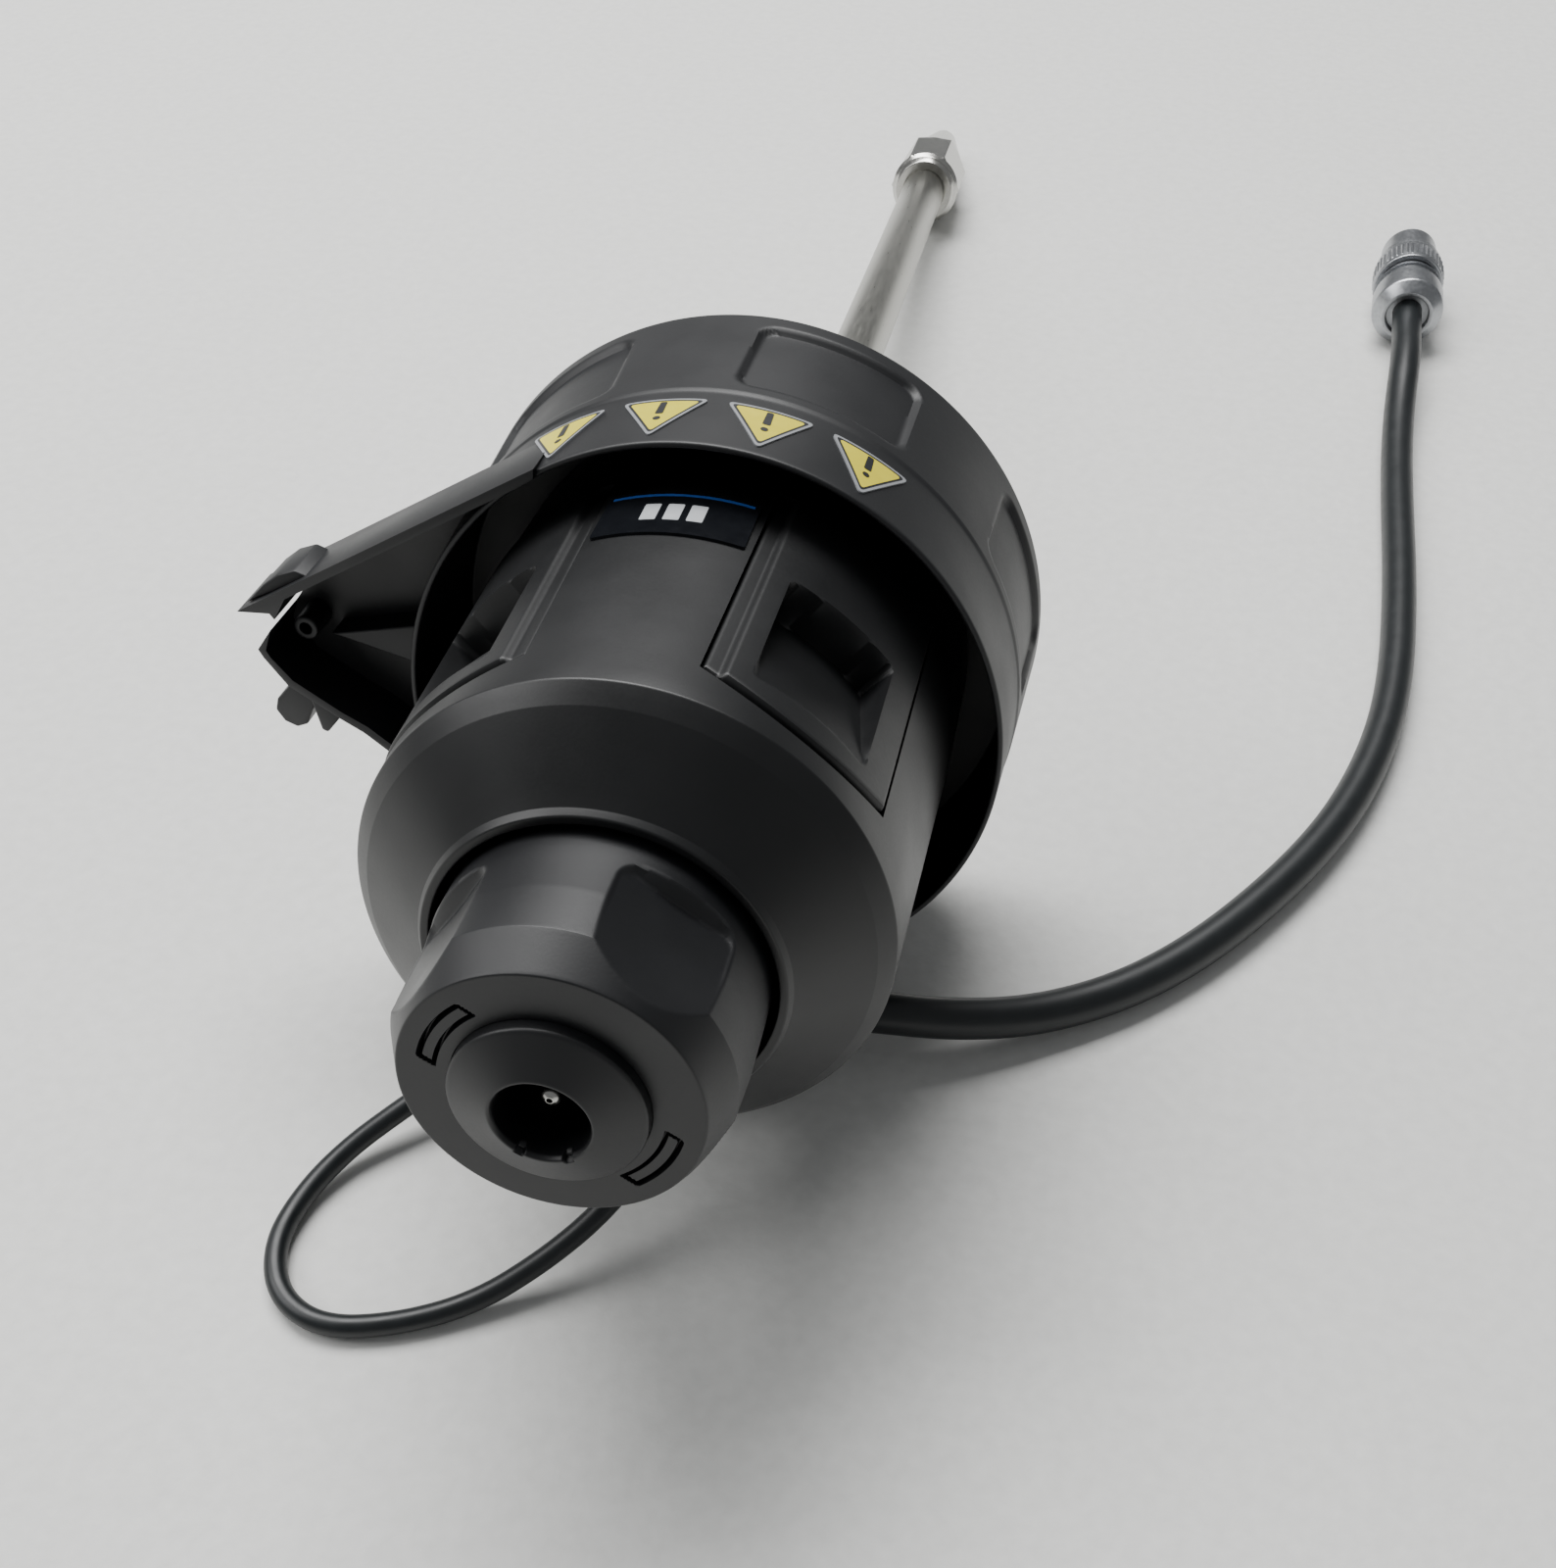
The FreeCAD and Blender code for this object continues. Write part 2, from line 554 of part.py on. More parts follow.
def knob():
    clip = "knob_neck - clip_depth"
    clip_top = "sleeve_back - 0.4"
    shoulder = "bush_front + 0.2"
    body = new_body("knob")
    turn(body, "Revolution", [
        ("port_radius + 0.1", "knob_face"), ("knob_face_radius", "knob_face"),
        ("knob_edge_radius", "knob_edge"), ("knob_radius", "knob_edge - 6"),
        ("knob_radius - 0.1", shoulder), ("knob_neck", shoulder), ("knob_neck", clip_top),
        (clip, clip_top), (clip, clip_top + " - clip_width"),
        ("knob_neck", clip_top + " - clip_width"), ("knob_neck", "knob_back"),
        ("knob_hollow", "knob_back"), ("knob_hollow", "knob_face - knob_plate"),
        ("port_radius + 0.1", "knob_face - knob_plate"),
    ])
    sketch = outline(body, "XY_Plane", [
        ("scallop_floor", "-(scallop_width / 2)"), ("knob_radius + 2", "-(scallop_width / 2)"),
        ("knob_radius + 2", "scallop_width / 2"), ("scallop_floor", "scallop_width / 2"),
    ], None, "(scallop_back + knob_face + 2) / 2")
    scallop = extrude(body, "Pocket", sketch, "knob_face + 2 - scallop_back")
    repeat(body, scallop, 4)
    sketch = sector(body, "window_inner", "window_outer", "window_half", "knob_face",
                    "window_turn - scallop_turn")
    window = extrude(body, "Pocket", sketch, "2 * knob_plate")
    repeat(body, window, 2)
    about_axis(body, "scallop_turn")
    keep("knob", body)


def port_insert():
    """Insert held behind the knob's face, with two snap tabs and the inlet hole."""
    back = "knob_face - knob_plate"
    body = new_body("port_insert")
    turn(body, "Revolution", [
        ("port_bore", back + " - port_flange"), ("knob_hollow - free", back + " - port_flange"),
        ("knob_hollow - free", back), ("port_radius", back), ("port_radius", "port_edge"),
        ("port_bore + 0.3", "port_front"), ("port_bore", "port_front - 0.3"),
    ])
    sketch = sector(body, "window_inner + tab_gap", "window_outer - tab_gap", "window_half - 1.8",
                    back, "window_turn")
    tab = extrude(body, "Pad", sketch, "2 * (knob_plate - 0.1)")
    repeat(body, tab, 2)
    turn(body, "Groove", [
        ("port_radius", back + " - port_flange - 8"), ("knob_radius", back + " - port_flange - 8"),
        ("knob_radius", back + " - port_flange"), ("port_radius", back + " - port_flange"),
    ])
    keep("port_insert", body)


def drive_pieces():
    """Pieces on the knob's and the needle's axis that turn or slide inside the housing."""
    turned("drive_nut", sleeve("carriage_radius + running", "knob_hollow", "nut_back",
                               "nut_front"))
    clip_top = "sleeve_back - 0.4"
    turned("knob_clip", sleeve("knob_neck - clip_depth", "knob_neck + clip_rise",
                               clip_top + " - clip_width", clip_top))
    turned("inlet_union", [
        ("needle_bore", "union_back"), ("union_radius", "union_back"),
        ("union_radius", "carriage_front"), ("union_nose", "carriage_front + 1.2"),
        ("union_nose", "union_front - 0.4"), ("union_nose - 0.4", "union_front"),
        ("needle_bore", "union_front"),
    ])
    turned("ferrule", sleeve("needle_radius", "ferrule_radius", "union_back - ferrule_length",
                             "union_back"))
    turned("spray_needle", sleeve("0.15", "needle_radius", "-(needle_end)",
                                  "union_back + 6"))


def carriage():
    body = new_body("carriage")
    turn(body, "Revolution", sleeve("carriage_bore", "carriage_radius", "carriage_back",
                                    "carriage_front"))
    width = "(key_radius + running)"
    sketch = outline(body, "XZ_Plane", [
        ("-" + width, "slot_back"), (width, "slot_back"), (width, "slot_front"),
        ("-" + width, "slot_front"),
    ], None, "-(slot_floor + carriage_radius + 1) / 2")
    extrude(body, "Pocket", sketch, "carriage_radius + 1 - slot_floor")
    keep("carriage", body)


# ---- side grips ----------------------------------------------------------------------------
def side_grip(name, angle):
    """Sprung finger grip: a curved panel with a wedge pocket, hinged at its back end."""
    body = new_body("grip_" + name)
    sketch = grip_plan(body, "0", "0", "(grip_blank + body_radius + blank_margin) / 2")
    extrude(body, "Pad", sketch, "body_radius + blank_margin - grip_blank")
    turn(body, "Groove", [
        (body_surface("grip_blank") + " + grip_proud", "grip_blank"),
        ("body_radius + 3 * blank_margin", "grip_blank"),
        ("body_radius + 3 * blank_margin", "front_chamfer"),
        (body_surface("front_chamfer") + " + grip_proud", "front_chamfer"),
    ])
    turn(body, "Groove", [
        ("0", "grip_blank"), ("grip_inner", "grip_blank"), ("grip_inner", "front_chamfer"),
        ("0", "front_chamfer"),
    ])
    surface = body_surface("pocket_shallow") + " + grip_proud"
    sketch = outline(body, "XZ_Plane", [
        (surface, "pocket_shallow"), (surface + " - pocket_depth", "pocket_deep"),
        ("body_radius + 2 * blank_margin", "pocket_deep"),
        ("body_radius + 2 * blank_margin", "pocket_shallow"),
    ])
    extrude(body, "Pocket", sketch, "2 * pocket_half")
    sketch = circle(body, "XZ_Plane", ("hinge_height", "hinge_z"), "hinge_radius + running")
    extrude(body, "Pocket", sketch, "2 * grip_half + 2")
    sketch = outline(body, "XZ_Plane", [
        ("grip_blank", "hinge_z - notch_reach"),
        ("hinge_height + notch_reach", "hinge_z - notch_reach"),
        ("hinge_height + notch_reach", "hinge_z + notch_reach"),
        ("grip_blank", "hinge_z + notch_reach"),
    ])
    extrude(body, "Pocket", sketch, "2 * notch_half")
    about_axis(body, angle)
    keep("grip_" + name, body)


def at_grip(shape, formula):
    """A shape drawn for a grip on +X, turned to where that grip is."""
    turned_shape = shape.copy()
    turned_shape.rotate(V(0, 0, 0), V(0, 0, 1), value(formula))
    return turned_shape


def grip_hardware():
    """The grips' hinge pins and the return springs wound round them."""
    reach = value("hinge_end")
    centre = V(value("hinge_height"), 0, value("hinge_z"))
    pin = Part.makeCylinder(value("hinge_radius"), 2 * reach, centre - V(0, reach, 0), V(0, 1, 0))
    length = value("coil_pitch") * value("coil_turns")
    path = Part.makeHelix(value("coil_pitch"), length, value("coil_radius"))
    wire = Part.Wire(Part.Circle(V(value("coil_radius"), 0, 0), V(0, 1, 0),
                                 value("coil_wire")).toShape())
    coil = Part.Wire(path.Edges).makePipeShell([wire], True, True)
    coil.rotate(V(0, 0, 0), V(1, 0, 0), -90)
    coil.translate(centre - V(0, length / 2, 0))
    moved([at_grip(pin, angle) for angle in GRIPS.values()], "grip_pins")
    moved([at_grip(coil, angle) for angle in GRIPS.values()], "grip_springs")


# ---- locking ring --------------------------------------------------------------------------
RING_SLOPE = "(ring_radius - ring_front_radius) / ring_length"


def ring_surface(height):
    """Radius of the ring's drafted outside at a height."""
    return "ring_radius - (%s) * %s" % (height, RING_SLOPE)


def tangent_point(distance, along):
    """A point on the arm's top wall: distance from the axis, then along the wall."""
    return ("-((%s) * sin(arm_tangent) + (%s) * cos(arm_tangent))" % (distance, along),
            "(%s) * cos(arm_tangent) - (%s) * sin(arm_tangent)" % (distance, along))


def arm_outline(body):
    """The lever arm from the operator's side: top wall, pointed tip, end and lower wall."""
    top = "(ring_front_radius + 0.3)"
    length = "((arm_reach - %s * sin(arm_tangent)) / cos(arm_tangent))" % top
    under = top + " - arm_wall"
    tip_x, tip_y = tangent_point(top, length)
    corners = [
        tangent_point(top, "0"), (tip_x, tip_y), tangent_point(under, length + " - 4"),
        ("-55.8", "9.4"), ("-59.1", "4.9"), ("-58.5", "3.7"), ("-55.8", "-0.1"),
        ("-49.3", "-4.2"), ("-46.1", "-6.0"), ("-38.2", "-12.2"), ("-34.0", "-4.0"),
        ("-20.0", "28.5"),
    ]
    return outline(body, "XY_Plane", corners, None, "(arm_back + arm_front) / 2")


def channel_outline(body):
    """The hollow side of the arm, which runs on into the ring's gap."""
    top = "(ring_front_radius + 0.3 - arm_wall)"
    corners = [
        tangent_point(top, "0"), tangent_point(top, "39.5"), ("-56.9", "4.8"), ("-56.3", "3.8"),
        ("-54.3", "1.6"), ("-48.3", "-2.2"), ("-45.0", "-4.2"), ("-36.4", "-11.0"),
        ("-28.0", "-4.0"), ("-14.0", "28.0"),
    ]
    return outline(body, "XY_Plane", corners, None, "(arm_back + arm_web + arm_front + 1) / 2")


def arm_details(body):
    """The rib and boss inside the arm, and the stub, tooth and bump on its outside."""
    sketch = outline(body, "XY_Plane", [("-51.0", "5.6"), ("-38.4", "2.4"), ("-37.6", "8.6")],
                     None, "arm_back + 3")
    extrude(body, "Pad", sketch, "5")
    sketch = circle(body, "XY_Plane", ("-54.0", "6.4"), "arm_boss_radius", "arm_back + 4.5")
    extrude(body, "Pad", sketch, "8")
    middle = "(arm_back + arm_front) / 2"
    shapes = [
        ([("-55.6", "0.6"), ("-58.9", "-4.6"), ("-54.9", "-6.8"), ("-52.0", "-1.6")],
         {1: "stub_radius * 1.06"}, "arm_front - arm_back - 2"),
        ([("-53.0", "-1.0"), ("-51.6", "-5.8"), ("-49.6", "-3.6")], {}, "6"),
        ([("-50.8", "15.6"), ("-52.8", "16.3"), ("-57.4", "13.7"), ("-60.2", "10.8")], {}, "8"),
    ]
    for corners, arcs, height in shapes:
        extrude(body, "Pad", outline(body, "XY_Plane", corners, arcs, middle), height)


def locking_ring():
    web_front = "web_back + web_thickness"
    bore = "spigot_radius + running"
    inner = "ring_front_radius - ring_lip"
    body = new_body("locking_ring")
    turn(body, "Revolution", [
        ("ring_radius - ring_wall", "0"), ("ring_radius - rim_chamfer", "0"),
        (ring_surface("rim_chamfer"), "rim_chamfer"),
        (ring_surface("ring_length - 0.5"), "ring_length - 0.5"),
        ("ring_front_radius - 0.4", "ring_length"), (inner, "ring_length"),
        (inner + " + 0.2", web_front), (bore, web_front), (bore, "web_back"),
        ("ring_radius - ring_wall - 0.3", "web_back"),
    ])
    extrude(body, "Pad", arm_outline(body), "arm_front - arm_back")
    extrude(body, "Pocket", channel_outline(body), "arm_front + 1 - arm_back - arm_web")
    turn(body, "Groove", [
        ("body_radius - 6", "web_back + web_thickness"), (inner + " + 0.2", web_front),
        (inner, "ring_length"), (inner, "arm_front + 1"), ("body_radius - 6", "arm_front + 1"),
    ])
    arm_details(body)
    keep("locking_ring", body)


def triangle_labels():
    """Four thin triangular labels bent to the ring's outside, points towards the knob."""
    skin = new_body("label_skin")
    back = "triangle_middle - triangle_radius"
    front = "triangle_middle + triangle_radius + 0.4"
    turn(skin, "Revolution", [
        (ring_surface(back), back), (ring_surface(back) + " + triangle_thickness", back),
        (ring_surface(front) + " + triangle_thickness", front), (ring_surface(front), front),
    ])
    prisms = []
    for step in range(4):
        angle = 90 - value("triangle_pitch") * (step - 1.5)
        prism = doc.addObject("Part::Prism", "triangle_%d" % (step + 1))
        prism.Polygon = 3
        bind(prism, "Circumradius", "triangle_radius")
        bind(prism, "Height", "ring_wall * 3")
        outward = FreeCAD.Rotation(V(0, 0, 1), angle)
        flat = FreeCAD.Rotation(V(0, 0, 1), V(0, -1, 0), V(1, 0, 0), "ZXY")
        place = outward.multVec(V(value("ring_front_radius - ring_wall"), 0, 0))
        place.z = value("triangle_middle")
        prism.Placement = FreeCAD.Placement(place, outward.multiply(flat))
        prisms.append(prism)
    joined = doc.addObject("Part::MultiFuse", "triangle_prisms")
    joined.Shapes = prisms
    result = doc.addObject("Part::Common", "triangle_labels")
    result.Base = skin
    result.Tool = joined
    doc.recompute()
    keep("triangle_labels", result)


# ---- cable, lead and plug ------------------------------------------------------------------
def tube(label, points, radius):
    """A round tube along straight runs that are joined by the largest arcs they allow."""
    edges = []
    radii = []
    here = points[0]
    for before, corner, after in zip(points, points[1:], points[2:]):
        arrive = (corner - before).normalize()
        leave = (after - corner).normalize()
        half = arrive.getAngle(leave) / 2
        reach = 0.45 * min((corner - before).Length, (after - corner).Length)
        radii.append(reach / math.tan(half))
        start = corner - arrive * reach
        end = corner + leave * reach
        towards = (leave - arrive).normalize()
        sagitta = radii[-1] * (1 / math.cos(half) - 1)
        edges.append(Part.LineSegment(here, start).toShape())
        edges.append(Part.Arc(start, corner + towards * sagitta, end).toShape())
        here = end
    edges.append(Part.LineSegment(here, points[-1]).toShape())
    path = Part.Wire(edges)
    ring = Part.Wire(Part.Circle(points[0], points[1] - points[0], radius).toShape())
    shape = path.makePipeShell([ring], True, False)
    expected = math.pi * radius * radius * path.Length
    print("%s: length %.1f, tightest bend %.1f, volume ratio %.4f" % (
        label, path.Length, min(radii), shape.Volume / expected))
    if abs(shape.Volume / expected - 1) > 0.01:
        raise RuntimeError(label + " has the wrong volume")
    return moved([shape], label)


def plug_pieces():
    """Round push-pull plug, drawn along +Z from where the cable enters it."""
    turned("plug_back_nut", [
        ("cable_radius", "plug_recess"), ("plug_mouth", "plug_recess"), ("plug_mouth", "0"),
        ("plug_mouth + 0.8", "0"), ("plug_radius - 0.2", "plug_recess + 0.4"),
        ("plug_radius - 0.2", "plug_nut_length - 0.6"),
        ("plug_band", "plug_nut_length"), ("cable_radius", "plug_nut_length"),
    ])
    end = "plug_sleeve_start + plug_sleeve_length + 0.4"
    turned("plug_body", [
        ("cable_radius", "plug_body_start"), ("plug_band", "plug_body_start"),
        ("plug_band", "plug_body_start + 2"), ("plug_radius", "plug_body_start + 2.4"),
        ("plug_radius", "plug_sleeve_start - 2.6"), ("plug_core", "plug_sleeve_start - 2.6"),
        ("plug_core", end), ("plug_collar", end), ("plug_collar", end + " + 1.2"),
        ("plug_nose_radius", end + " + 1.6"), ("plug_nose_radius", "plug_nose - 0.6"),
        ("plug_nose_radius - 0.5", "plug_nose"), ("plug_nose_bore", "plug_nose"),
        ("plug_nose_bore", "insert_back"), ("cable_radius", "insert_back"),
    ])
    turned("plug_sleeve", sleeve("plug_core + running", "plug_radius", "plug_sleeve_start",
                                 "plug_sleeve_start + plug_sleeve_length"))
    turned("plug_insulator", sleeve("0", "plug_nose_bore", "insert_back", "insert_front"))


def plug_pins():
    pins = []
    for step in range(6):
        angle = math.radians(60 * step)
        place = V(math.cos(angle), math.sin(angle), 0) * value("pin_circle")
        place.z = value("insert_front")
        pins.append(Part.makeCylinder(value("pin_radius"), value("pin_length") - 1.6, place))
    moved(pins, "plug_pins")


# ---- laying the probe down -----------------------------------------------------------------
CORD_PIECES = ("signal_cable", "ground_lead", "plug_back_nut", "plug_body", "plug_sleeve",
               "plug_insulator", "plug_pins")


def resting_tilt():
    """Degrees that the nozzle points down when ring and nozzle both touch the bench."""
    touches = [("nozzle_flats / 2", "nozzle_hex_end + 0.4"), ("nozzle_nose", "nozzle_end - 1")]
    slopes = []
    for radius, reach in touches:
        along = value(reach) + value("rim_chamfer")
        slopes.append((value(ring_surface("rim_chamfer")) - value(radius)) / along)
    return math.degrees(math.atan(min(slopes)))


def lay_down():
    """Place the probe on the bench, then centre it on the origin."""
    tilt = math.radians(resting_tilt())
    turn_down = FreeCAD.Rotation(V(1, 0, 0), 90 - math.degrees(tilt))
    rim = V(0, -value(ring_surface("rim_chamfer")), value("rim_chamfer"))
    lift = -turn_down.multVec(rim).z
    stance = FreeCAD.Placement(V(0, 0, lift), turn_down)
    box = FreeCAD.BoundBox()
    for label, thing in pieces.items():
        if label in CORD_PIECES:
            continue
        thing.Placement = stance.multiply(thing.Placement)
        box.add(thing.Shape.optimalBoundingBox(False, False))
    shift = V(-box.Center.x, -box.Center.y, -box.ZMin)
    cable = [stance.multVec(outlet_point(across, "cable_exit_z"))
             for across in ("outlet_half", "outlet_half + gland_length + 1.5")]
    cable += [V(*point) for point in CABLE_ROUTE]
    lead = [stance.multVec(outlet_point(across, "lead_exit_z"))
            for across in ("-(outlet_half)", "-(outlet_half + lead_straight)")]
    lead += [V(*point) for point in LEAD_ROUTE]
    lead += [stance.multVec(outlet_point("0", height))
             for height in ("outlet_front + lead_straight", "outlet_front")]
    tube("signal_cable", cable, value("cable_radius"))
    tube("ground_lead", lead, value("lead_radius"))
    heading = cable[-1] - cable[-2]
    heading.z = 0
    entry = cable[-1] - heading.normalize() * value("plug_recess + cable_grip")
    plug = FreeCAD.Placement(entry, FreeCAD.Rotation(V(0, 0, 1), heading))
    for label in CORD_PIECES[2:]:
        pieces[label].Placement = plug
    for thing in pieces.values():
        thing.Placement = FreeCAD.Placement(shift, FreeCAD.Rotation()).multiply(thing.Placement)
    print("tilt %.3f deg, origin of the probe at %.4f %.4f %.4f" % (
        math.degrees(tilt), shift.x, shift.y, shift.z + lift))


def write_pieces():
    doc.recompute()
    for thing in doc.Objects:
        if "Invalid" in thing.State or "Error" in thing.State:
            raise RuntimeError("%s failed: %s" % (thing.Label, thing.State))
    os.makedirs("parts", exist_ok=True)
    for label, thing in pieces.items():
        if thing.Shape.isNull() or not thing.Shape.isValid():
            raise RuntimeError(label + " has no valid shape")
        thing.Shape.exportStep("parts/%s.step" % label)
    print(len(pieces), "pieces written")


def build():
    fill_sheet()
    housing_shell()
    label_plate()
    cable_outlet()
    cable_gland()
    rear_flange()
    flange_screws()
    seals()
    gas_manifold()
    inner_frame()
    guide_key()
    root_tubes()
    nozzle()
    knob()
    port_insert()
    drive_pieces()
    carriage()
    for name, angle in GRIPS.items():
        side_grip(name, angle)
    grip_hardware()
    locking_ring()
    triangle_labels()
    plug_pieces()
    plug_pins()
    lay_down()
    write_pieces()


build()
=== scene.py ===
# %% [markdown]
# # A spray probe for a mass spectrometer
# The object is a black moulded housing with press grips, a locking ring with a lever arm, a
# hand knob, a steel shaft, a signal cable with a round plug, and a thin lead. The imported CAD
# model gives every place and size. This lesson gives the visible skins their soft moulded
# edges, their small features and their finishes.

import json
import math

import bmesh
import bpy
from mathutils import Matrix, Vector


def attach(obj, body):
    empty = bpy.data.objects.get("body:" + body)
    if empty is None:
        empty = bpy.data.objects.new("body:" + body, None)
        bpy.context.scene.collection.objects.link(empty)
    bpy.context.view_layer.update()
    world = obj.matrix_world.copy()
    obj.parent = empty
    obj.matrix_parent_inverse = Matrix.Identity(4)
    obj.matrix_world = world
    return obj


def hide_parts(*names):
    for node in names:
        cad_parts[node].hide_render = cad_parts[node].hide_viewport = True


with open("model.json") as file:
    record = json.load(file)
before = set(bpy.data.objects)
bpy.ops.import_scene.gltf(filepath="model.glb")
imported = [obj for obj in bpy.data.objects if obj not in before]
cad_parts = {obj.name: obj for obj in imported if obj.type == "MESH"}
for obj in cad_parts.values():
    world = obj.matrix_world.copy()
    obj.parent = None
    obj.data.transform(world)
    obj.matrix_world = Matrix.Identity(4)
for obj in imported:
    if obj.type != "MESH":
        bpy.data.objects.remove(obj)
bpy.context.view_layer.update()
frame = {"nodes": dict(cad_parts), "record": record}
nodes = frame["nodes"]
MM = 0.001

# %% [markdown]
# ## The probe's own axis
# The probe lies tilted on the bench, so its pieces are easier to make on its own axis: z runs
# from the locking ring's back towards the knob, x is right and y is up as the operator sees
# it. The record's inlet mount lies on that axis, 100 mm in front of the ring's back.

# %% A matrix from the probe's millimetres to the bench's metres
inlet = [mount for mount in frame["record"]["mounts"] if mount["name"] == "inlet_port"][0]
towards_knob = Vector(inlet["axis"]).normalized()
to_the_right = Vector((1, 0, 0))
probe_up = towards_knob.cross(to_the_right)
INLET_HEIGHT = 100 * MM
probe_origin = Vector(inlet["pos_m"]) - towards_knob * INLET_HEIGHT
PROBE = Matrix((to_the_right, probe_up, towards_knob)).transposed().to_4x4()
PROBE.translation = probe_origin
PROBE = PROBE @ Matrix.Scale(MM, 4)
HOUSING_YAW = math.radians(3.4)


def on_probe(x, y, z):
    """A point in the probe's millimetres as a place on the bench."""
    return PROBE @ Vector((x, y, z))


# %% [markdown]
# ## The camera
# It stands behind the knob and looks down along the probe, close enough that the knob is
# clearly nearer than the plug. A small upward shift frames the probe without tilting the view.

# %% The camera
camera_data = bpy.data.cameras.new("bench_camera")
camera = bpy.data.objects.new("bench_camera", camera_data)
bpy.context.collection.objects.link(camera)
camera.location = (0.0504, -0.2622, 0.1899)
camera.rotation_euler = [math.radians(angle) for angle in (39.861, 0.0, 10.822)]
camera_data.lens = 38.25
camera_data.sensor_width = 36
camera_data.shift_y = 0.131
camera_data.clip_start = 0.01
bpy.context.scene.camera = camera

# %% [markdown]
# ## Materials
# Every finish starts from what the part is made of. One function adds a node, sets it up and
# links it, and one turns a hex colour into the linear numbers that shaders want.


# %% Two small helpers for shader trees
def colour(text):
    """A hex sRGB colour as linear RGBA."""
    parts = [int(text[place:place + 2], 16) / 255 for place in (1, 3, 5)]
    return [c / 12.92 if c <= 0.04045 else ((c + 0.055) / 1.055) ** 2.4 for c in parts] + [1]


def add(tree, kind, setup=None, links=None, **inputs):
    """Add one node: attributes from setup, links into sockets, and plain input values."""
    made = tree.nodes.new(kind)
    for name, worth in (setup or {}).items():
        setattr(made, name, worth)
    for name, worth in inputs.items():
        made.inputs[name.replace("_", " ")].default_value = worth
    for name, source in (links or {}).items():
        tree.links.new(source, made.inputs[name])
    return made


def blank_material(name, **flat):
    """A material with its shader, whose flat values are set on the shader's own sockets."""
    material = bpy.data.materials.new(name)
    material.use_nodes = True
    tree = material.node_tree
    shader = tree.nodes["Principled BSDF"]
    for socket, worth in flat.items():
        shader.inputs[socket.replace("_", " ")].default_value = worth
    coordinates = add(tree, "ShaderNodeTexCoord")
    return material, tree, shader, coordinates.outputs["Object"]


def blend_colours(tree, shader, factor, first, second):
    """Vary the base colour between two near shades."""
    mix = add(tree, "ShaderNodeMix", {"data_type": "RGBA"})
    mix.inputs[6].default_value = colour(first)
    mix.inputs[7].default_value = colour(second)
    tree.links.new(factor, mix.inputs[0])
    tree.links.new(mix.outputs[2], shader.inputs["Base Color"])


def vary_roughness(tree, shader, factor, low, high):
    """Vary the roughness between two values."""
    spread = add(tree, "ShaderNodeMapRange", links={"Value": factor}, To_Min=low, To_Max=high)
    tree.links.new(spread.outputs[0], shader.inputs["Roughness"])


def bump(tree, shader, height, strength, depth_mm):
    """Turn a height pattern into a bump of a real depth."""
    relief = add(tree, "ShaderNodeBump", links={"Height": height},
                 Strength=strength, Distance=depth_mm * MM)
    tree.links.new(relief.outputs[0], shader.inputs["Normal"])


# %% [markdown]
# ### Moulded black plastic
# Glass-filled polycarbonate blend from a spark-eroded tool: a fine even grain that makes soft
# wide highlights, a little smoother where hands rub it. The real grain is about 0.1 mm; it is
# drawn at 0.35 mm so that it shows.


# %% A moulded plastic in a chosen gloss
def moulded_plastic(name, dark, light, low, high, grain_mm=0.35, strength=0.25):
    """Two near shades in soft clouds, with a fine grain in the roughness and the relief."""
    material, tree, shader, place = blank_material(name, IOR=1.5)
    cloud = add(tree, "ShaderNodeTexNoise", links={"Vector": place}, Scale=90.0, Detail=4.0)
    grain = add(tree, "ShaderNodeTexNoise", links={"Vector": place},
                Scale=1 / (grain_mm * MM), Detail=2.0)
    rubbed = add(tree, "ShaderNodeMath", {"operation": "MULTIPLY_ADD"})
    tree.links.new(grain.outputs[0], rubbed.inputs[0])
    rubbed.inputs[1].default_value = 0.35
    tree.links.new(cloud.outputs[0], rubbed.inputs[2])
    blend_colours(tree, shader, cloud.outputs[0], dark, light)
    vary_roughness(tree, shader, rubbed.outputs[0], low, high)
    bump(tree, shader, grain.outputs[0], strength, 0.02)
    return material


housing_black = moulded_plastic("moulded_housing_black", "#08090a", "#0e0f11", 0.28, 0.46)
ring_black = moulded_plastic("moulded_ring_black", "#0b0c0e", "#121316", 0.34, 0.54)
knob_black = moulded_plastic("moulded_knob_black", "#0a0b0d", "#111215", 0.30, 0.50)
grip_black = moulded_plastic("textured_grip_black", "#08090a", "#0e0f11", 0.32, 0.50, 0.5, 0.4)
seal_black = moulded_plastic("rubber_seal", "#101011", "#18181a", 0.6, 0.8)


# %% [markdown]
# ### Metals
# The shaft is drawn stainless tube, polished along its length, so fine streaks run along it.
# The plug's shell is satin chrome with a fine blasted grain. Both keep the default IOR.


# %% Metal with a grain along or round the probe
def metal(name, dark, light, low, high, stretch):
    """A noise stretched by an amount for each axis, so that it makes a grain."""
    material, tree, shader, place = blank_material(name, Metallic=1.0)
    lie = add(tree, "ShaderNodeMapping", links={"Vector": place})
    lie.inputs["Scale"].default_value = stretch
    streak = add(tree, "ShaderNodeTexNoise", links={"Vector": lie.outputs[0]},
                 Scale=1.0, Detail=5.0)
    blend_colours(tree, shader, streak.outputs[0], dark, light)
    vary_roughness(tree, shader, streak.outputs[0], low, high)
    bump(tree, shader, streak.outputs[0], 0.3, 0.004)
    return material


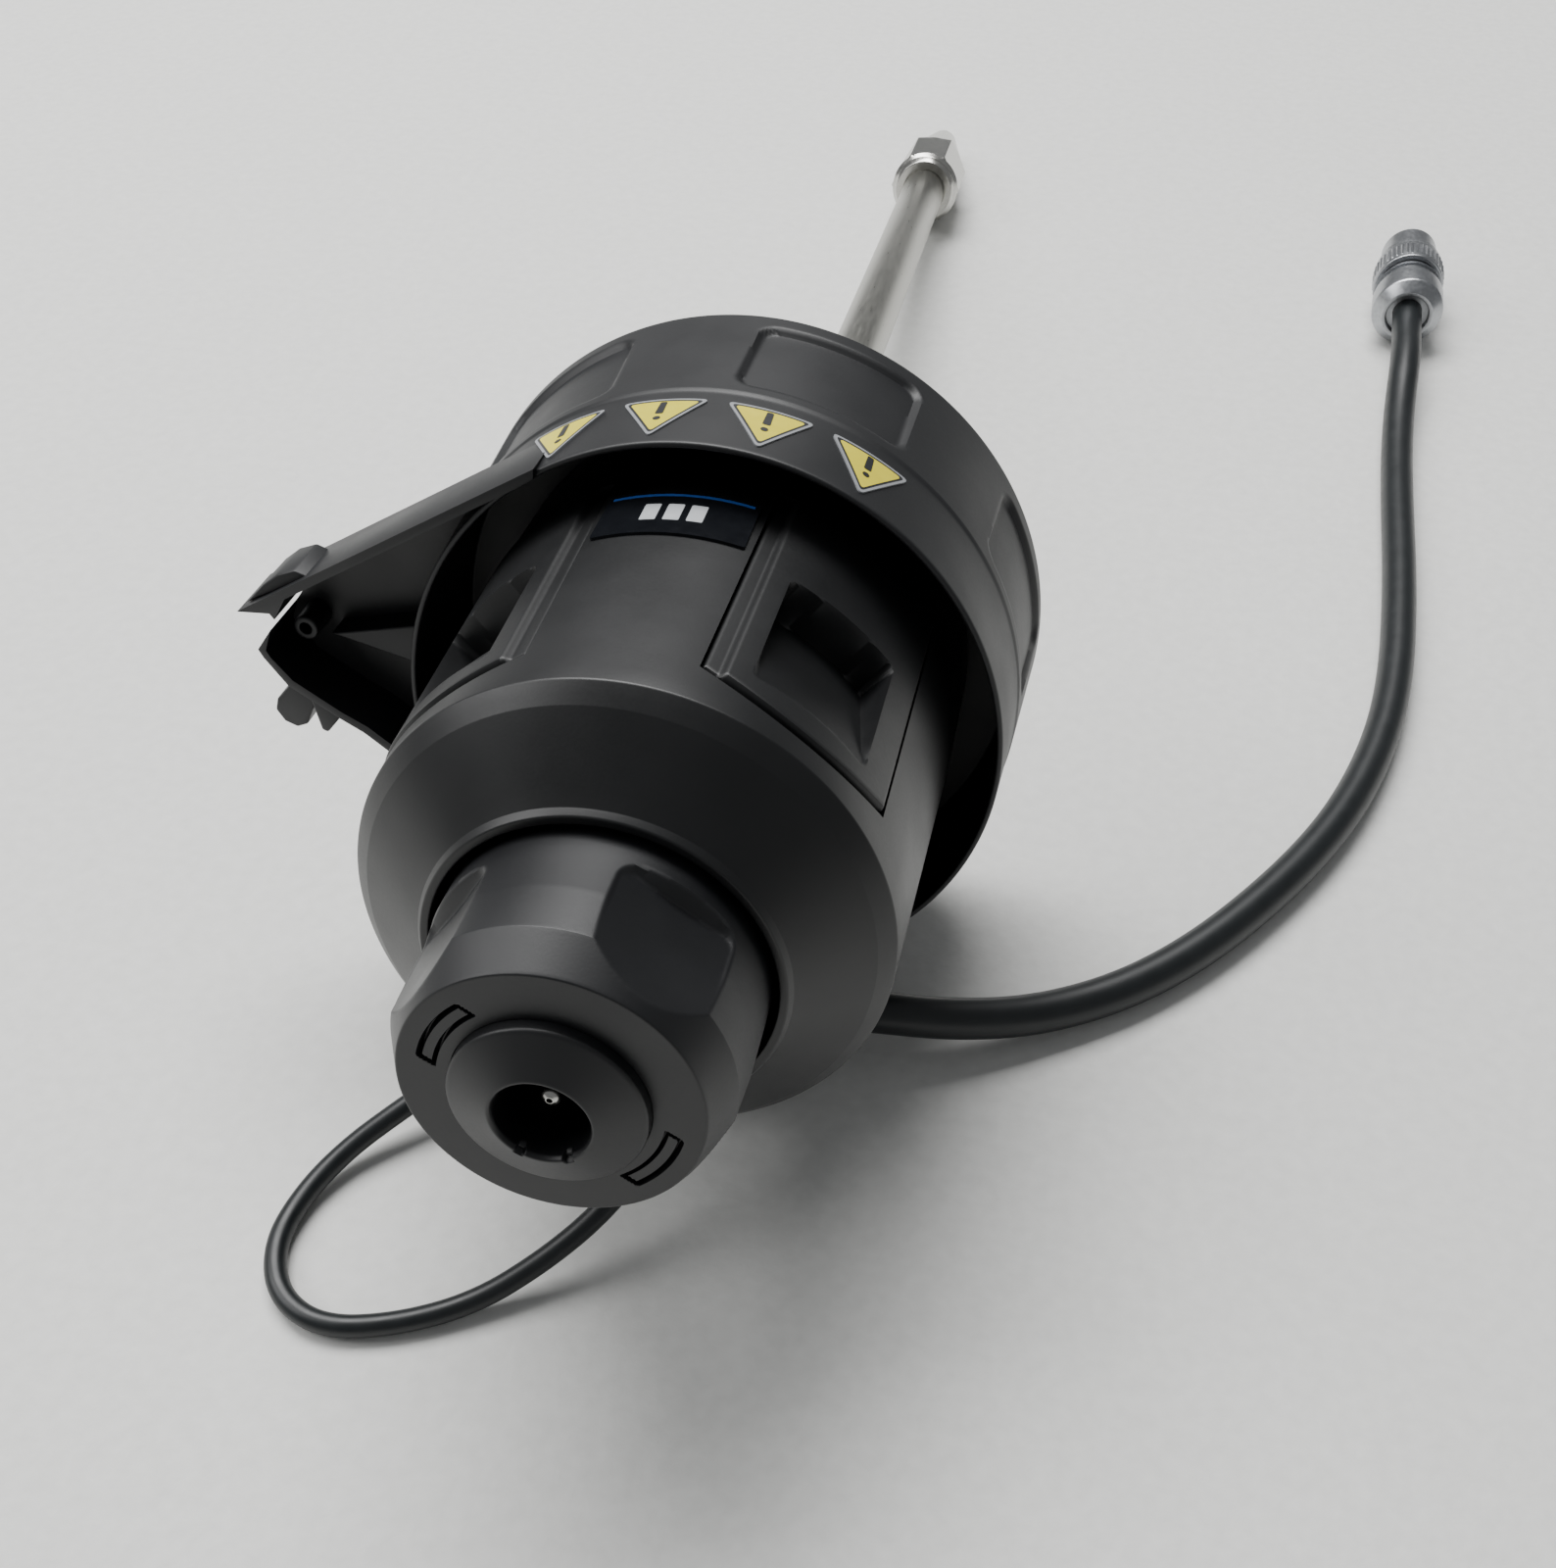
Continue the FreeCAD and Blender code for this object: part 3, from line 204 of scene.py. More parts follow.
polished_steel = metal("drawn_stainless", "#8f8e87", "#b9b8b1", 0.22, 0.4, (1500, 40, 1500))
turned_steel = metal("turned_stainless", "#a2a19c", "#cfceca", 0.14, 0.3, (900, 1500, 900))
satin_chrome = metal("satin_chrome", "#8f9194", "#b9bbbe", 0.24, 0.42, (1500, 1500, 1500))


# %% [markdown]
# ### Film, print and cable jackets
# The name plate is glossy dark film. Prints are matt inks with a slight mottle. The cable is
# soft PVC: satin and very dark, with a faint mottle.


# %% Inks and films
def printed(name, shade, worn, low=0.35, high=0.5, mottle_mm=1.5):
    """An ink or film with a slight mottle of a chosen size."""
    material, tree, shader, place = blank_material(name, IOR=1.5)
    mottle = add(tree, "ShaderNodeTexNoise", links={"Vector": place},
                 Scale=1 / (mottle_mm * MM), Detail=3.0)
    blend_colours(tree, shader, mottle.outputs[0], shade, worn)
    vary_roughness(tree, shader, mottle.outputs[0], low, high)
    bump(tree, shader, mottle.outputs[0], 0.1, 0.01)
    return material


label_film = printed("glossy_label_film", "#0f1013", "#15171b", 0.12, 0.22)
stripe_blue = printed("blue_print", "#27519f", "#2f60b4")
letter_grey = printed("grey_print", "#a6a9ac", "#b9bcbf")
hazard_yellow = printed("yellow_print", "#d3c530", "#ded23c", 0.3, 0.42)
hazard_black = printed("black_print", "#17181a", "#1f2022")
hazard_border = printed("grey_border_print", "#86888b", "#97999c")
jacket_black = printed("pvc_jacket", "#0d1113", "#14191b", 0.34, 0.48, 2.5)

# %% [markdown]
# Every CAD node starts in the housing's black, whatever slot the record gives it. The skins
# below stand for most of them. The flange, its screws and seals, the plug's insulator and pins
# and the hidden works have no skin, so they stay black.

# %% The nodes' first finish
for piece in nodes.values():
    piece.data.materials.clear()
    piece.data.materials.append(housing_black)

# %% [markdown]
# ## The cords
# The signal cable leaves the outlet under the housing and runs to its plug. The thin lead
# makes one loop and goes back in. Each is one smooth spline through few control points, which
# is how a real cord lies, and each is as long as the real one.

# %% The routes, as points on the bench in millimetres
CORD_LEVEL = -38.6
BENCH_SHIFT = Vector((9.9125, -69.2270, 0))
CABLE_POINTS = [
    (38.0, -43.4, 6.5), (50.5, -37.4, 3.6), (63.5, -28.6, 3.0), (76.2, -15.0, 3.0),
    (90.1, 6.0, 3.0), (98.4, 26.2, 3.0), (103.0, 47.5, 3.0), (105.0, 75.5, 3.0),
    (105.7, 103.0, 3.0), (106.4, 121.0, 3.1), (107.3, 136.0, 4.3), (108.4, 150.0, 7.3),
    (109.0, 160.0, 7.5), (109.6, 170.0, 7.5),
]
LEAD_POINTS = [
    (-21.5, -57.8, 7.6), (-28.5, -64.6, 6.4), (-35.0, -71.4, 4.6), (-41.0, -78.0, 2.6),
    (-44.6, -85.4, 1.6), (-45.6, -93.5, 1.5), (-42.2, -100.6, 1.5), (-35.2, -103.8, 1.5),
    (-26.0, -101.6, 1.5), (-17.2, -97.0, 1.8), (-9.8, -91.0, 4.2), (-3.4, -84.8, 7.8),
    (1.0, -77.4, 11.0),
]


def outlet_point(across, height):
    """A point at the cords' level of the outlet, which is turned with the housing."""
    turned = Matrix.Rotation(HOUSING_YAW, 3, "Z") @ Vector((across, CORD_LEVEL, height))
    return on_probe(*turned)


def on_bench(points):
    """The bench's millimetre points in metres."""
    return [(Vector(point) + BENCH_SHIFT) * MM for point in points]


cable_route = [outlet_point(7.5, 42), outlet_point(22, 42)] + on_bench(CABLE_POINTS)
lead_route = ([outlet_point(-7.5, 48), outlet_point(-15.5, 48)] + on_bench(LEAD_POINTS)
              + [outlet_point(0, 64), outlet_point(0, 56)])


# %% A cord is a bevelled NURBS curve
def lay_cord(name, route, radius, finish):
    """A round, capped cord through few control points."""
    curve = bpy.data.curves.new(name, "CURVE")
    curve.dimensions = "3D"
    curve.bevel_depth = radius
    curve.bevel_resolution = 8
    curve.resolution_u = 16
    curve.use_fill_caps = True
    spline = curve.splines.new("NURBS")
    spline.points.add(len(route) - 1)
    for knot, place in zip(spline.points, route):
        knot.co = (*place, 1)
    spline.order_u = 3
    spline.use_endpoint_u = True
    curve.materials.append(finish)
    cord = bpy.data.objects.new(name, curve)
    bpy.context.collection.objects.link(cord)
    return cord


cable = lay_cord("signal_cable_jacket", cable_route, 3.0 * MM, jacket_black)
lead = lay_cord("ground_lead_jacket", lead_route, 1.5 * MM, jacket_black)
for cord, node_name in ((cable, "signal_cable"), (lead, "ground_lead")):
    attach(cord, "root")
    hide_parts(node_name)


# %% [markdown]
# ## Turned skins
# Most of the probe is round. Its outlines are closed loops of (radius, height) corners. Each
# corner gets a small fillet, because a moulded or turned edge is never perfectly sharp and
# the thin highlight along it is what makes it read as real.


# %% Fillet the corners of a closed outline
def filleted(corners, arc_steps=4):
    """Corners are (radius, height, fillet); the loop comes back with its corners rounded."""
    loop = []
    count = len(corners)
    for index, (r, z, fillet) in enumerate(corners):
        here = Vector((r, z))
        if fillet <= 0:
            loop.append(here)
            continue
        back = Vector(corners[index - 1][:2]) - here
        ahead = Vector(corners[(index + 1) % count][:2]) - here
        angle = back.angle(ahead)
        reach = min(fillet / math.tan(angle / 2), 0.45 * back.length, 0.45 * ahead.length)
        start = here + back.normalized() * reach
        end = here + ahead.normalized() * reach
        for step in range(arc_steps + 1):
            t = step / arc_steps
            loop.append((1 - t) ** 2 * start + 2 * t * (1 - t) * here + t * t * end)
    return loop


def finer(loop, spacing):
    """The same loop in steps no longer than a spacing, or than a rule's answer for each side."""
    fine = []
    for index, here in enumerate(loop):
        after = loop[(index + 1) % len(loop)]
        longest = spacing(here, after) if callable(spacing) else spacing
        steps = max(1, math.ceil((after - here).length / longest))
        fine += [here.lerp(after, step / steps) for step in range(steps)]
    return fine


# %% Make a piece from points and faces
def piece_from(name, points, faces, finishes, matrix=PROBE, zones=None):
    """A merged mesh with its faces turned outwards; zones number each face's finish."""
    mesh = bpy.data.meshes.new(name)
    mesh.from_pydata([matrix @ Vector(point) for point in points], [], faces)
    for finish in finishes:
        mesh.materials.append(finish)
    if zones:
        mesh.polygons.foreach_set("material_index", zones)
    work = bmesh.new()
    work.from_mesh(mesh)
    bmesh.ops.remove_doubles(work, verts=work.verts, dist=1e-7)
    bmesh.ops.recalc_face_normals(work, faces=work.faces)
    work.to_mesh(mesh)
    work.free()
    mesh.shade_smooth()
    mesh.set_sharp_from_angle(angle=math.radians(38))
    made = bpy.data.objects.new(name, mesh)
    bpy.context.collection.objects.link(made)
    return made


def stands_for(piece, body, slot, *replaced):
    """Put a finished piece on its body, in place of its CAD nodes; the slot is not used."""
    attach(piece, body)
    if replaced:
        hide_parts(*replaced)
    return piece


# %% Spin an outline round an axis, with an optional rule that shapes each point
def plain_round(r, turn, z):
    """A point of a round piece: turn is clockwise from the top, seen from the knob."""
    return r * math.sin(turn), r * math.cos(turn), z


def spun(name, loop, steps, finish, shape=plain_round, matrix=PROBE):
    """The loop at each step of a full turn, joined up into one closed skin."""
    points = []
    for step in range(steps):
        turn = 2 * math.pi * step / steps
        points += [shape(r, turn, z) for r, z in loop]
    faces = []
    count = len(loop)
    for step in range(steps):
        near = step * count
        far = (step + 1) % steps * count
        for index in range(count):
            after = (index + 1) % count
            faces.append((near + index, near + after, far + after, far + index))
    return piece_from(name, points, faces, [finish], matrix)


def smooth(low, high, number):
    """Rise softly from 0 to 1 as a number goes from low to high."""
    t = min(1, max(0, (number - low) / (high - low)))
    return t * t * (3 - 2 * t)


def from_edge(across, along, half_width, half_length, corner):
    """How far a point is inside a rounded rectangle; less than nothing outside it."""
    dx = abs(across) - half_width + corner
    dy = abs(along) - half_length + corner
    outside = math.hypot(max(dx, 0), max(dy, 0))
    return corner - outside - min(max(dx, dy), 0)


def nearest_turn(turn, first, pitch):
    """Degrees from a turn to the nearest of the places that repeat at a pitch."""
    degrees = math.degrees(turn) - first
    return degrees - pitch * round(degrees / pitch)


# %% [markdown]
# ## The adjuster knob
# Four finger scallops are cut into the knob's side. On the real part they blend softly into
# the round side, with rounded upper corners, and stop just before the housing's lip. Two curved
# snap windows in the face show the insert's tabs. A shape rule on a finely spun skin does both.

# %% The knob's skin
FINE_TURNS = 540
WHOLE_SIDE = 40
FACE_HEIGHT = 102.6
SCALLOP_FIRST = 34.4
SCALLOP_HALF = 7.2
SCALLOP_BACK = 86.3
SCALLOP_FRONT = 116
SCALLOP_FLOOR = 16.7
SCALLOP_CORNER = 2.2
WINDOW_FIRST = -57.5
WINDOW_RADIUS = 12.85
WINDOW_HALF_WIDTH = 1.05
WINDOW_HALF_LENGTH = math.radians(21) * WINDOW_RADIUS
GROOVE_DEPTH = 1.5
TAB_STEP = 0.1


def knob_shape(r, turn, z):
    """Press the scallops into the side, and cut the windows' grooves round the two tabs."""
    if z > SCALLOP_BACK - 1 and r > 15.0:
        away = math.radians(nearest_turn(turn, SCALLOP_FIRST, 90))
        out, across = r * math.cos(away), r * math.sin(away)
        middle = (SCALLOP_BACK + SCALLOP_FRONT) / 2
        inside = from_edge(across, z - middle, SCALLOP_HALF, SCALLOP_FRONT - middle,
                           SCALLOP_CORNER)
        deep = smooth(-0.2, 0.5, inside)
        floor = SCALLOP_FLOOR + 0.25 * (across / SCALLOP_HALF) ** 2
        if out > floor:
            out += (floor - out) * deep
        r, turn = math.hypot(out, across), turn + math.atan2(across, out) - away
    if z > FACE_HEIGHT - 0.2 and 11 < r < 14.8:
        along = math.radians(nearest_turn(turn, WINDOW_FIRST, 180)) * r
        inside = from_edge(along, r - WINDOW_RADIUS, WINDOW_HALF_LENGTH, WINDOW_HALF_WIDTH, 0.25)
        if inside > 0:
            tab = smooth(0.34, 0.46, inside)
            z -= GROOVE_DEPTH * smooth(0, 0.12, inside) * (1 - tab)
            z -= TAB_STEP * tab
    return plain_round(r, turn, z)


knob_outline = filleted([
    (10.5, 102.6, 0.0), (16.0, 102.6, 0.3), (18.2, 98.0, 0.3), (18.5, 92.0, 0.0),
    (18.4, 70.5, 0.3), (17.6, 70.5, 0.0), (17.6, 61.6, 0.0), (16.8, 61.6, 0.0),
    (16.8, 60.6, 0.0), (17.6, 60.6, 0.0), (17.6, 58.5, 0.2), (14.2, 58.5, 0.2),
    (14.2, 98.4, 0.0), (10.5, 98.4, 0.0),
])


def knob_spacing(here, after):
    """Fine steps only where the shape rule works: on the face and on the outer side."""
    if min(here.y, after.y) > FACE_HEIGHT - 0.1:
        return 0.13
    if min(here.y, after.y) > 69 and min(here.x, after.x) > 15.9:
        return 0.34
    return WHOLE_SIDE


knob = spun("knob_skin", finer(knob_outline, knob_spacing), FINE_TURNS, knob_black, knob_shape)
stands_for(knob, "adjuster_knob", "knob_plastic", "knob")
print("knob", len(knob.data.polygons), "faces")

# %% [markdown]
# ## The port insert and the union inside it
# The insert's boss stands proud of the knob's face with a rounded edge. Its bore is smooth and
# dark down to a small step, with two narrow notches in its lower edge that stop the insert
# from turning while the knob is pressed on.

# %% The insert, with two notches in the rim of its bore
BORE = 5.0
NOTCHES = (152.0, 208.0)
NOTCH_HALF, NOTCH_REACH, NOTCH_DEPTH = 0.55, 5.75, 0.9


def insert_shape(r, turn, z):
    """Sink the rim of the bore at the two notches."""
    if z > 102 and r < 6.4:
        away = min(abs(nearest_turn(turn, notch, 360)) for notch in NOTCHES)
        sideways = smooth(-0.1, 0.25, NOTCH_HALF - math.radians(away) * r)
        z -= NOTCH_DEPTH * sideways * smooth(-0.1, 0.2, NOTCH_REACH - r)
    return plain_round(r, turn, z)


insert_outline = filleted([
    (13.9, 96.5, 0.2), (13.9, 98.35, 0.1), (10.42, 98.35, 0.0), (10.42, 104.0, 0.55),
    (5.3, 106.2, 0.3), (BORE, 105.6, 0.0), (BORE, 96.5, 0.0),
])
insert = spun("port_insert_skin",
              finer(insert_outline, lambda here, after: 0.2 if here.y > 103.9 else WHOLE_SIDE),
              FINE_TURNS, knob_black, insert_shape)
stands_for(insert, "adjuster_knob", "knob_plastic", "port_insert")

union = spun("inlet_union_skin", filleted([
    (0.3, 84.0, 0.0), (3.3, 84.0, 0.2), (3.3, 94.0, 0.3), (2.4, 94.9, 0.2), (2.4, 96.0, 0.4),
    (1.15, 96.2, 0.2), (1.15, 102.6, 0.9), (0.3, 103.0, 0.1),
]), 64, turned_steel)
stands_for(union, "needle_carriage", "steel", "inlet_union")


# %% [markdown]
# ## Softened CAD shells
# The cable outlet under the housing is easier to keep exactly as the CAD has it. A merged
# copy of the node gets a small bevel on its sharp edges, which replaces the node.


# %% Bake a modifier's result into the piece, and soften sharp edges
def bake(made):
    """Keep what the modifiers make as the piece's own mesh."""
    graph = bpy.context.evaluated_depsgraph_get()
    baked = bpy.data.meshes.new_from_object(made.evaluated_get(graph))
    made.modifiers.clear()
    made.data = baked
    baked.shade_smooth()
    baked.set_sharp_from_angle(angle=math.radians(40))


def bevelled(made, width_mm, sharper_than=30):
    """Round every edge that is sharper than an angle."""
    soft = made.modifiers.new("soft_edges", "BEVEL")
    soft.width = width_mm * MM
    soft.segments = 3
    soft.limit_method = "ANGLE"
    soft.angle_limit = math.radians(sharper_than)
    bake(made)


# %% Copy a node and soften its edges
def softened(name, node_name, width_mm, finish):
    """A merged copy of a node with a small bevel on its sharp edges."""
    work = bmesh.new()
    work.from_mesh(nodes[node_name].data)
    bmesh.ops.remove_doubles(work, verts=work.verts, dist=2e-6)
    bmesh.ops.dissolve_limit(work, angle_limit=math.radians(0.6), verts=work.verts,
                             edges=work.edges)
    mesh = bpy.data.meshes.new(name)
    work.to_mesh(mesh)
    work.free()
    mesh.materials.clear()
    mesh.materials.append(finish)
    mesh.shade_smooth()
    made = bpy.data.objects.new(name, mesh)
    bpy.context.collection.objects.link(made)
    bevelled(made, width_mm, 35)
    return made


outlet = softened("cable_outlet_skin", "cable_outlet", 0.6, housing_black)
stands_for(outlet, "root", "housing_plastic", "cable_outlet")

# %% [markdown]
# ## The press grips
# Each grip is a curved panel with a rounded front, a bevelled inner edge and a wedge-shaped
# finger pocket that is deepest towards the ring. A grid laid over the panel's outline takes
# all of it as a rule for the height of each point.

# %% The grip's outline and its height rule
GRIP_HALF, GRIP_BACK, GRIP_CURVE, GRIP_FRONT, GRIP_INNER = 12.3, 29.3, 29.2, 70.2, 25.0
POCKET_HALF, POCKET_DEEP, POCKET_SHALLOW, POCKET_DEPTH = 7.7, 46.5, 66.5, 5.4
EDGE_RADIUS, BEVEL_DEPTH = 0.45, 0.7
BODY_RADIUS, BODY_FRONT_RADIUS, BODY_BACK, BODY_FRONT = 32.2, 30.9, 30.0, 74.2
BODY_SLOPE = (BODY_RADIUS - BODY_FRONT_RADIUS) / (BODY_FRONT - BODY_BACK)


def body_radius(z):
    """The housing's plain taper."""
    return BODY_RADIUS - (z - BODY_BACK) * BODY_SLOPE


def grip_front(across):
    """Where the grip's rounded front edge lies."""
    return GRIP_FRONT - GRIP_CURVE + math.sqrt(GRIP_CURVE ** 2 - across ** 2)


def grip_height(across, z, side):
    """How far out of the axis the grip's skin lies at a point of its outline."""
    out = math.sqrt((body_radius(z) + 0.3) ** 2 - across ** 2)
    edge = min(GRIP_HALF - abs(across), z - GRIP_BACK, grip_front(across) - z)
    if edge < EDGE_RADIUS:
        out -= EDGE_RADIUS - math.sqrt(EDGE_RADIUS ** 2 - (EDGE_RADIUS - edge) ** 2)
    out -= BEVEL_DEPTH * (1 - smooth(1.6, 2.2, GRIP_HALF - side * across))
    middle = (POCKET_DEEP + POCKET_SHALLOW) / 2
    inside = from_edge(across, z - middle, POCKET_HALF, (POCKET_SHALLOW - POCKET_DEEP) / 2, 1.0)
    ramp = (POCKET_SHALLOW - z) / (POCKET_SHALLOW - POCKET_DEEP)
    out -= POCKET_DEPTH * max(0, min(1, ramp)) * smooth(-0.15, 0.45, inside)
    return out


# %% Cut tools out of a piece
def cut_away(made, *tools):
    """Cut each tool's shape out of the piece, and remove the tools."""
    for tool in tools:
        cut = made.modifiers.new("cut", "BOOLEAN")
        cut.operation = "DIFFERENCE"
        cut.solver = "EXACT"
        cut.object = tool
    bake(made)
    for tool in tools:
        bpy.data.objects.remove(tool)


# %% [markdown]
# ## The housing
# One turned shell with a rounded lip, a smooth cone and a chamfer in front. The four windows
# that the grips lie in are cut through it with the grips' own outline made a little larger, so
# the thin dark gaps round the grips are real gaps.

# %% The shell and its windows
GAP, FRONT_GAP = 0.4, 0.9


def prism_faces(count):
    """Two ends and the sides between them, for two outlines of equal count."""
    ends = [tuple(range(count)), tuple(range(count, 2 * count))]
    return ends + [(i, (i + 1) % count, count + (i + 1) % count, count + i)
                   for i in range(count)]


def window_cutter(name, degrees):
    """The grip's outline, a gap larger, as a block that reaches through the shell."""
    edge = GRIP_HALF + GAP
    curve = GRIP_CURVE + FRONT_GAP
    outline = [(-edge, GRIP_BACK - GAP), (edge, GRIP_BACK - GAP)]
    for step in range(25):
        across = edge * (1 - step / 12)
        outline.append((across, GRIP_FRONT - GRIP_CURVE + math.sqrt(curve ** 2 - across ** 2)))
    points = [(r, across, z) for r in (22.5, 37.0) for across, z in outline]
    turn = Matrix.Rotation(math.radians(degrees), 4, "Z")
    return piece_from(name, points, prism_faces(len(outline)), [housing_black], PROBE @ turn)


grips = {
    "grip_upper_right": (90 + 3.4 - 41.5, 1), "grip_upper_left": (90 + 3.4 + 41.5, -1),
    "grip_lower_left": (3.4 - 90 - 41.5, 1), "grip_lower_right": (3.4 - 90 + 41.5, -1),
}
housing = spun("housing_skin", finer(filleted([
    (19.4, 62.0, 0.0), (19.4, 83.2, 0.25), (20.4, 83.2, 0.4), (20.9, 82.3, 0.3),
    (29.0, 76.2, 0.8), (BODY_FRONT_RADIUS, BODY_FRONT, 0.5), (BODY_RADIUS, BODY_BACK, 0.0),
    (BODY_RADIUS, 12.2, 0.3),
    (27.0, 12.2, 0.0), (27.0, 7.9, 0.2), (22.5, 7.9, 0.2), (22.5, 16.0, 0.0),
    (29.6, 16.0, 0.0), (29.6, 30.0, 0.0), (28.3, 71.0, 0.5), (21.6, 71.0, 0.5),
    (21.6, 62.0, 0.2)]), 2.5), 300, housing_black)
cut_away(housing, *[window_cutter(name + "_cutter", degrees)
                    for name, (degrees, side) in grips.items()])
stands_for(housing, "root", "housing_plastic", "housing_shell")
print("housing", len(housing.data.polygons), "faces")


# %% Lay the grip's grid and close it with a skirt
def grip_piece(name, degrees, side):
    """Columns lie closer near the two long edges, which are rounded."""
    wide, long = 124, 164

    def at(row, column):
        return row * (wide + 1) + column

    points, faces = [], []
    for row in range(long + 1):
        for column in range(wide + 1):
            share = 2 * column / wide - 1
            across = GRIP_HALF * (share + math.sin(math.pi / 2 * share * 0.999)) * 0.5
            z = GRIP_BACK + (grip_front(across) - GRIP_BACK) * row / long
            points.append((grip_height(across, z, side), across, z))
    for row in range(long):
        for column in range(wide):
            faces.append((at(row, column), at(row, column + 1),
                          at(row + 1, column + 1), at(row + 1, column)))
    rim = [at(0, c) for c in range(wide)] + [at(r, wide) for r in range(long)]
    rim += [at(long, c) for c in range(wide, 0, -1)] + [at(r, 0) for r in range(long, 0, -1)]
    first_low = len(points)
    for index in rim:
        points.append((GRIP_INNER, points[index][1], points[index][2]))
    for place in range(len(rim)):
        after = (place + 1) % len(rim)
        faces.append((rim[place], rim[after], first_low + after, first_low + place))
    faces.append(tuple(range(first_low, first_low + len(rim))))
    turn = Matrix.Rotation(math.radians(degrees), 4, "Z")
    return piece_from(name, points, faces, [grip_black], PROBE @ turn)


for grip_name, (degrees, side) in grips.items():
    grip = grip_piece(grip_name + "_skin", degrees, side)
    stands_for(grip, grip_name, "grip_plastic", grip_name)
print("grips", len(grip.data.polygons), "faces each")

# %% [markdown]
# ## The locking ring
# The band tapers towards the knob and has a faint step where its tool parts. Shallow rounded
# finger recesses run round its back half. The lever arm is an open channel that leaves the band
# on the left, with a pointed tip, a rib and a boss inside it, and a stub at its end.

# %% The band
RING_BACK_RADIUS, RING_FRONT_RADIUS, RING_LENGTH = 41.2, 39.0, 35.2
RING_SLOPE = (RING_BACK_RADIUS - RING_FRONT_RADIUS) / RING_LENGTH
RECESS_FIRST, RECESS_PITCH, RECESS_DEPTH = 17.0, 55.0, 0.75
RECESS_HALF_LENGTH, RECESS_MIDDLE, RECESS_HALF_WIDTH = math.radians(15.5) * 41, 11.2, 8.2
RECESSES = [RECESS_FIRST + RECESS_PITCH * number for number in range(-2, 4)]


def ring_radius(z):
    """The band's plain taper."""
    return RING_BACK_RADIUS - z * RING_SLOPE


def front_step(z):
    """How far the band's front half lies under its back half."""
    return 0.18 * smooth(21.6, 22.1, z)


def band_shape(r, turn, z):
    """Lower the front half a little, and press in the finger recesses."""
    if r > ring_radius(z) - 0.5 and z > 1:
        r -= front_step(z)
        degrees = (math.degrees(turn) + 180) % 360 - 180
        along = math.radians(min((degrees - recess for recess in RECESSES), key=abs)) * r
        inside = from_edge(along, z - RECESS_MIDDLE, RECESS_HALF_LENGTH, RECESS_HALF_WIDTH, 2.4)
        r -= RECESS_DEPTH * smooth(-0.3, 0.6, inside)
    return plain_round(r, turn, z)


band_outline = filleted([
    (38.9, 0.0, 0.3), (41.19, 0.0, 0.4), (ring_radius(34.8), 35.2, 0.45), (38.1, 35.2, 0.3),
    (38.3, 12.0, 0.5), (27.1, 12.0, 0.2), (27.1, 8.1, 0.2), (38.6, 8.1, 0.5),
])


def band_spacing(here, after):
    """Fine steps on the outer side only."""
    outside = min(here.x - ring_radius(here.y), after.x - ring_radius(after.y)) > -0.7
    return 0.35 if outside else WHOLE_SIDE


band = spun("ring_band", finer(band_outline, band_spacing), 600, ring_black, band_shape)
stands_for(band, "locking_ring", "ring_plastic", "locking_ring")
print("band", len(band.data.polygons), "faces")


# %% Plates cut to an outline, for the arm
def plate(name, corners, back, front):
    points = [(x, y, back) for x, y in corners] + [(x, y, front) for x, y in corners]
    return piece_from(name, points, prism_faces(len(corners)), [ring_black])


ARM_LEAN = math.radians(30)


def top_wall(distance, along):
    """A point on the arm's top wall, which is tangent to the band."""
    return (-(distance * math.sin(ARM_LEAN) + along * math.cos(ARM_LEAN)),
            distance * math.cos(ARM_LEAN) - along * math.sin(ARM_LEAN))


# %% The lever arm
TOP, WALL, ARM_END = 39.3, 1.2, 61.0
REACH = (ARM_END - TOP * math.sin(ARM_LEAN)) / math.cos(ARM_LEAN)
arm = plate("lever_arm", [
    top_wall(TOP, 0), top_wall(TOP, REACH), top_wall(TOP - 2, REACH - 4), (-55.8, 9.4),
    (-59.1, 4.9), (-58.5, 3.7), (-55.8, -0.1), (-49.3, -4.2), (-46.1, -6.0), (-38.2, -12.2),
    (-34.0, -4.0), (-20.0, 28.5),
], 25.5, 36.0)
channel = plate("channel_cutter", [
    top_wall(TOP - WALL, 0), top_wall(TOP - WALL, 40.4), (-56.6, 8.6), (-58.0, 4.9),
    (-57.5, 3.9), (-55.0, 0.8), (-48.8, -3.2), (-45.4, -5.0), (-36.9, -11.6), (-28.0, -4.0),
    (-14.0, 28.0),
], 27.0, 40.0)
gap_cutter = spun("gap_cutter", [Vector(corner) for corner in (
    (20, 20), (38.25, 20), (38.25, 40), (20, 40))], 160, ring_black)
cut_away(arm, channel, gap_cutter)
bevelled(arm, 0.3)
stands_for(arm, "locking_ring", "ring_plastic")
small_parts = [
    ("arm_rib", [(-51.0, 5.6), (-38.4, 2.4), (-37.6, 8.6)], 26.5, 31.0),
    ("arm_stub", [(-55.6, 0.6), (-56.6, -1.2), (-58.4, -3.2), (-58.9, -4.9), (-57.9, -6.6),
                  (-56.2, -7.3), (-54.6, -6.6), (-53.6, -4.4), (-52.0, -1.6)], 26.6, 34.9),
    ("arm_tooth", [(-53.2, -1.2), (-52.2, -6.6), (-51.4, -6.9), (-49.2, -4.2)], 30.0, 35.8),
    ("arm_bump", [(-50.8, 15.6), (-52.8, 16.3), (-55.2, 15.4), (-57.4, 13.7), (-60.2, 10.8)],
     26.9, 34.7),
]
for part_name, corners, back, front in small_parts:
    part = plate(part_name, corners, back, front)
    bevelled(part, 0.3)
    stands_for(part, "locking_ring", "ring_plastic")
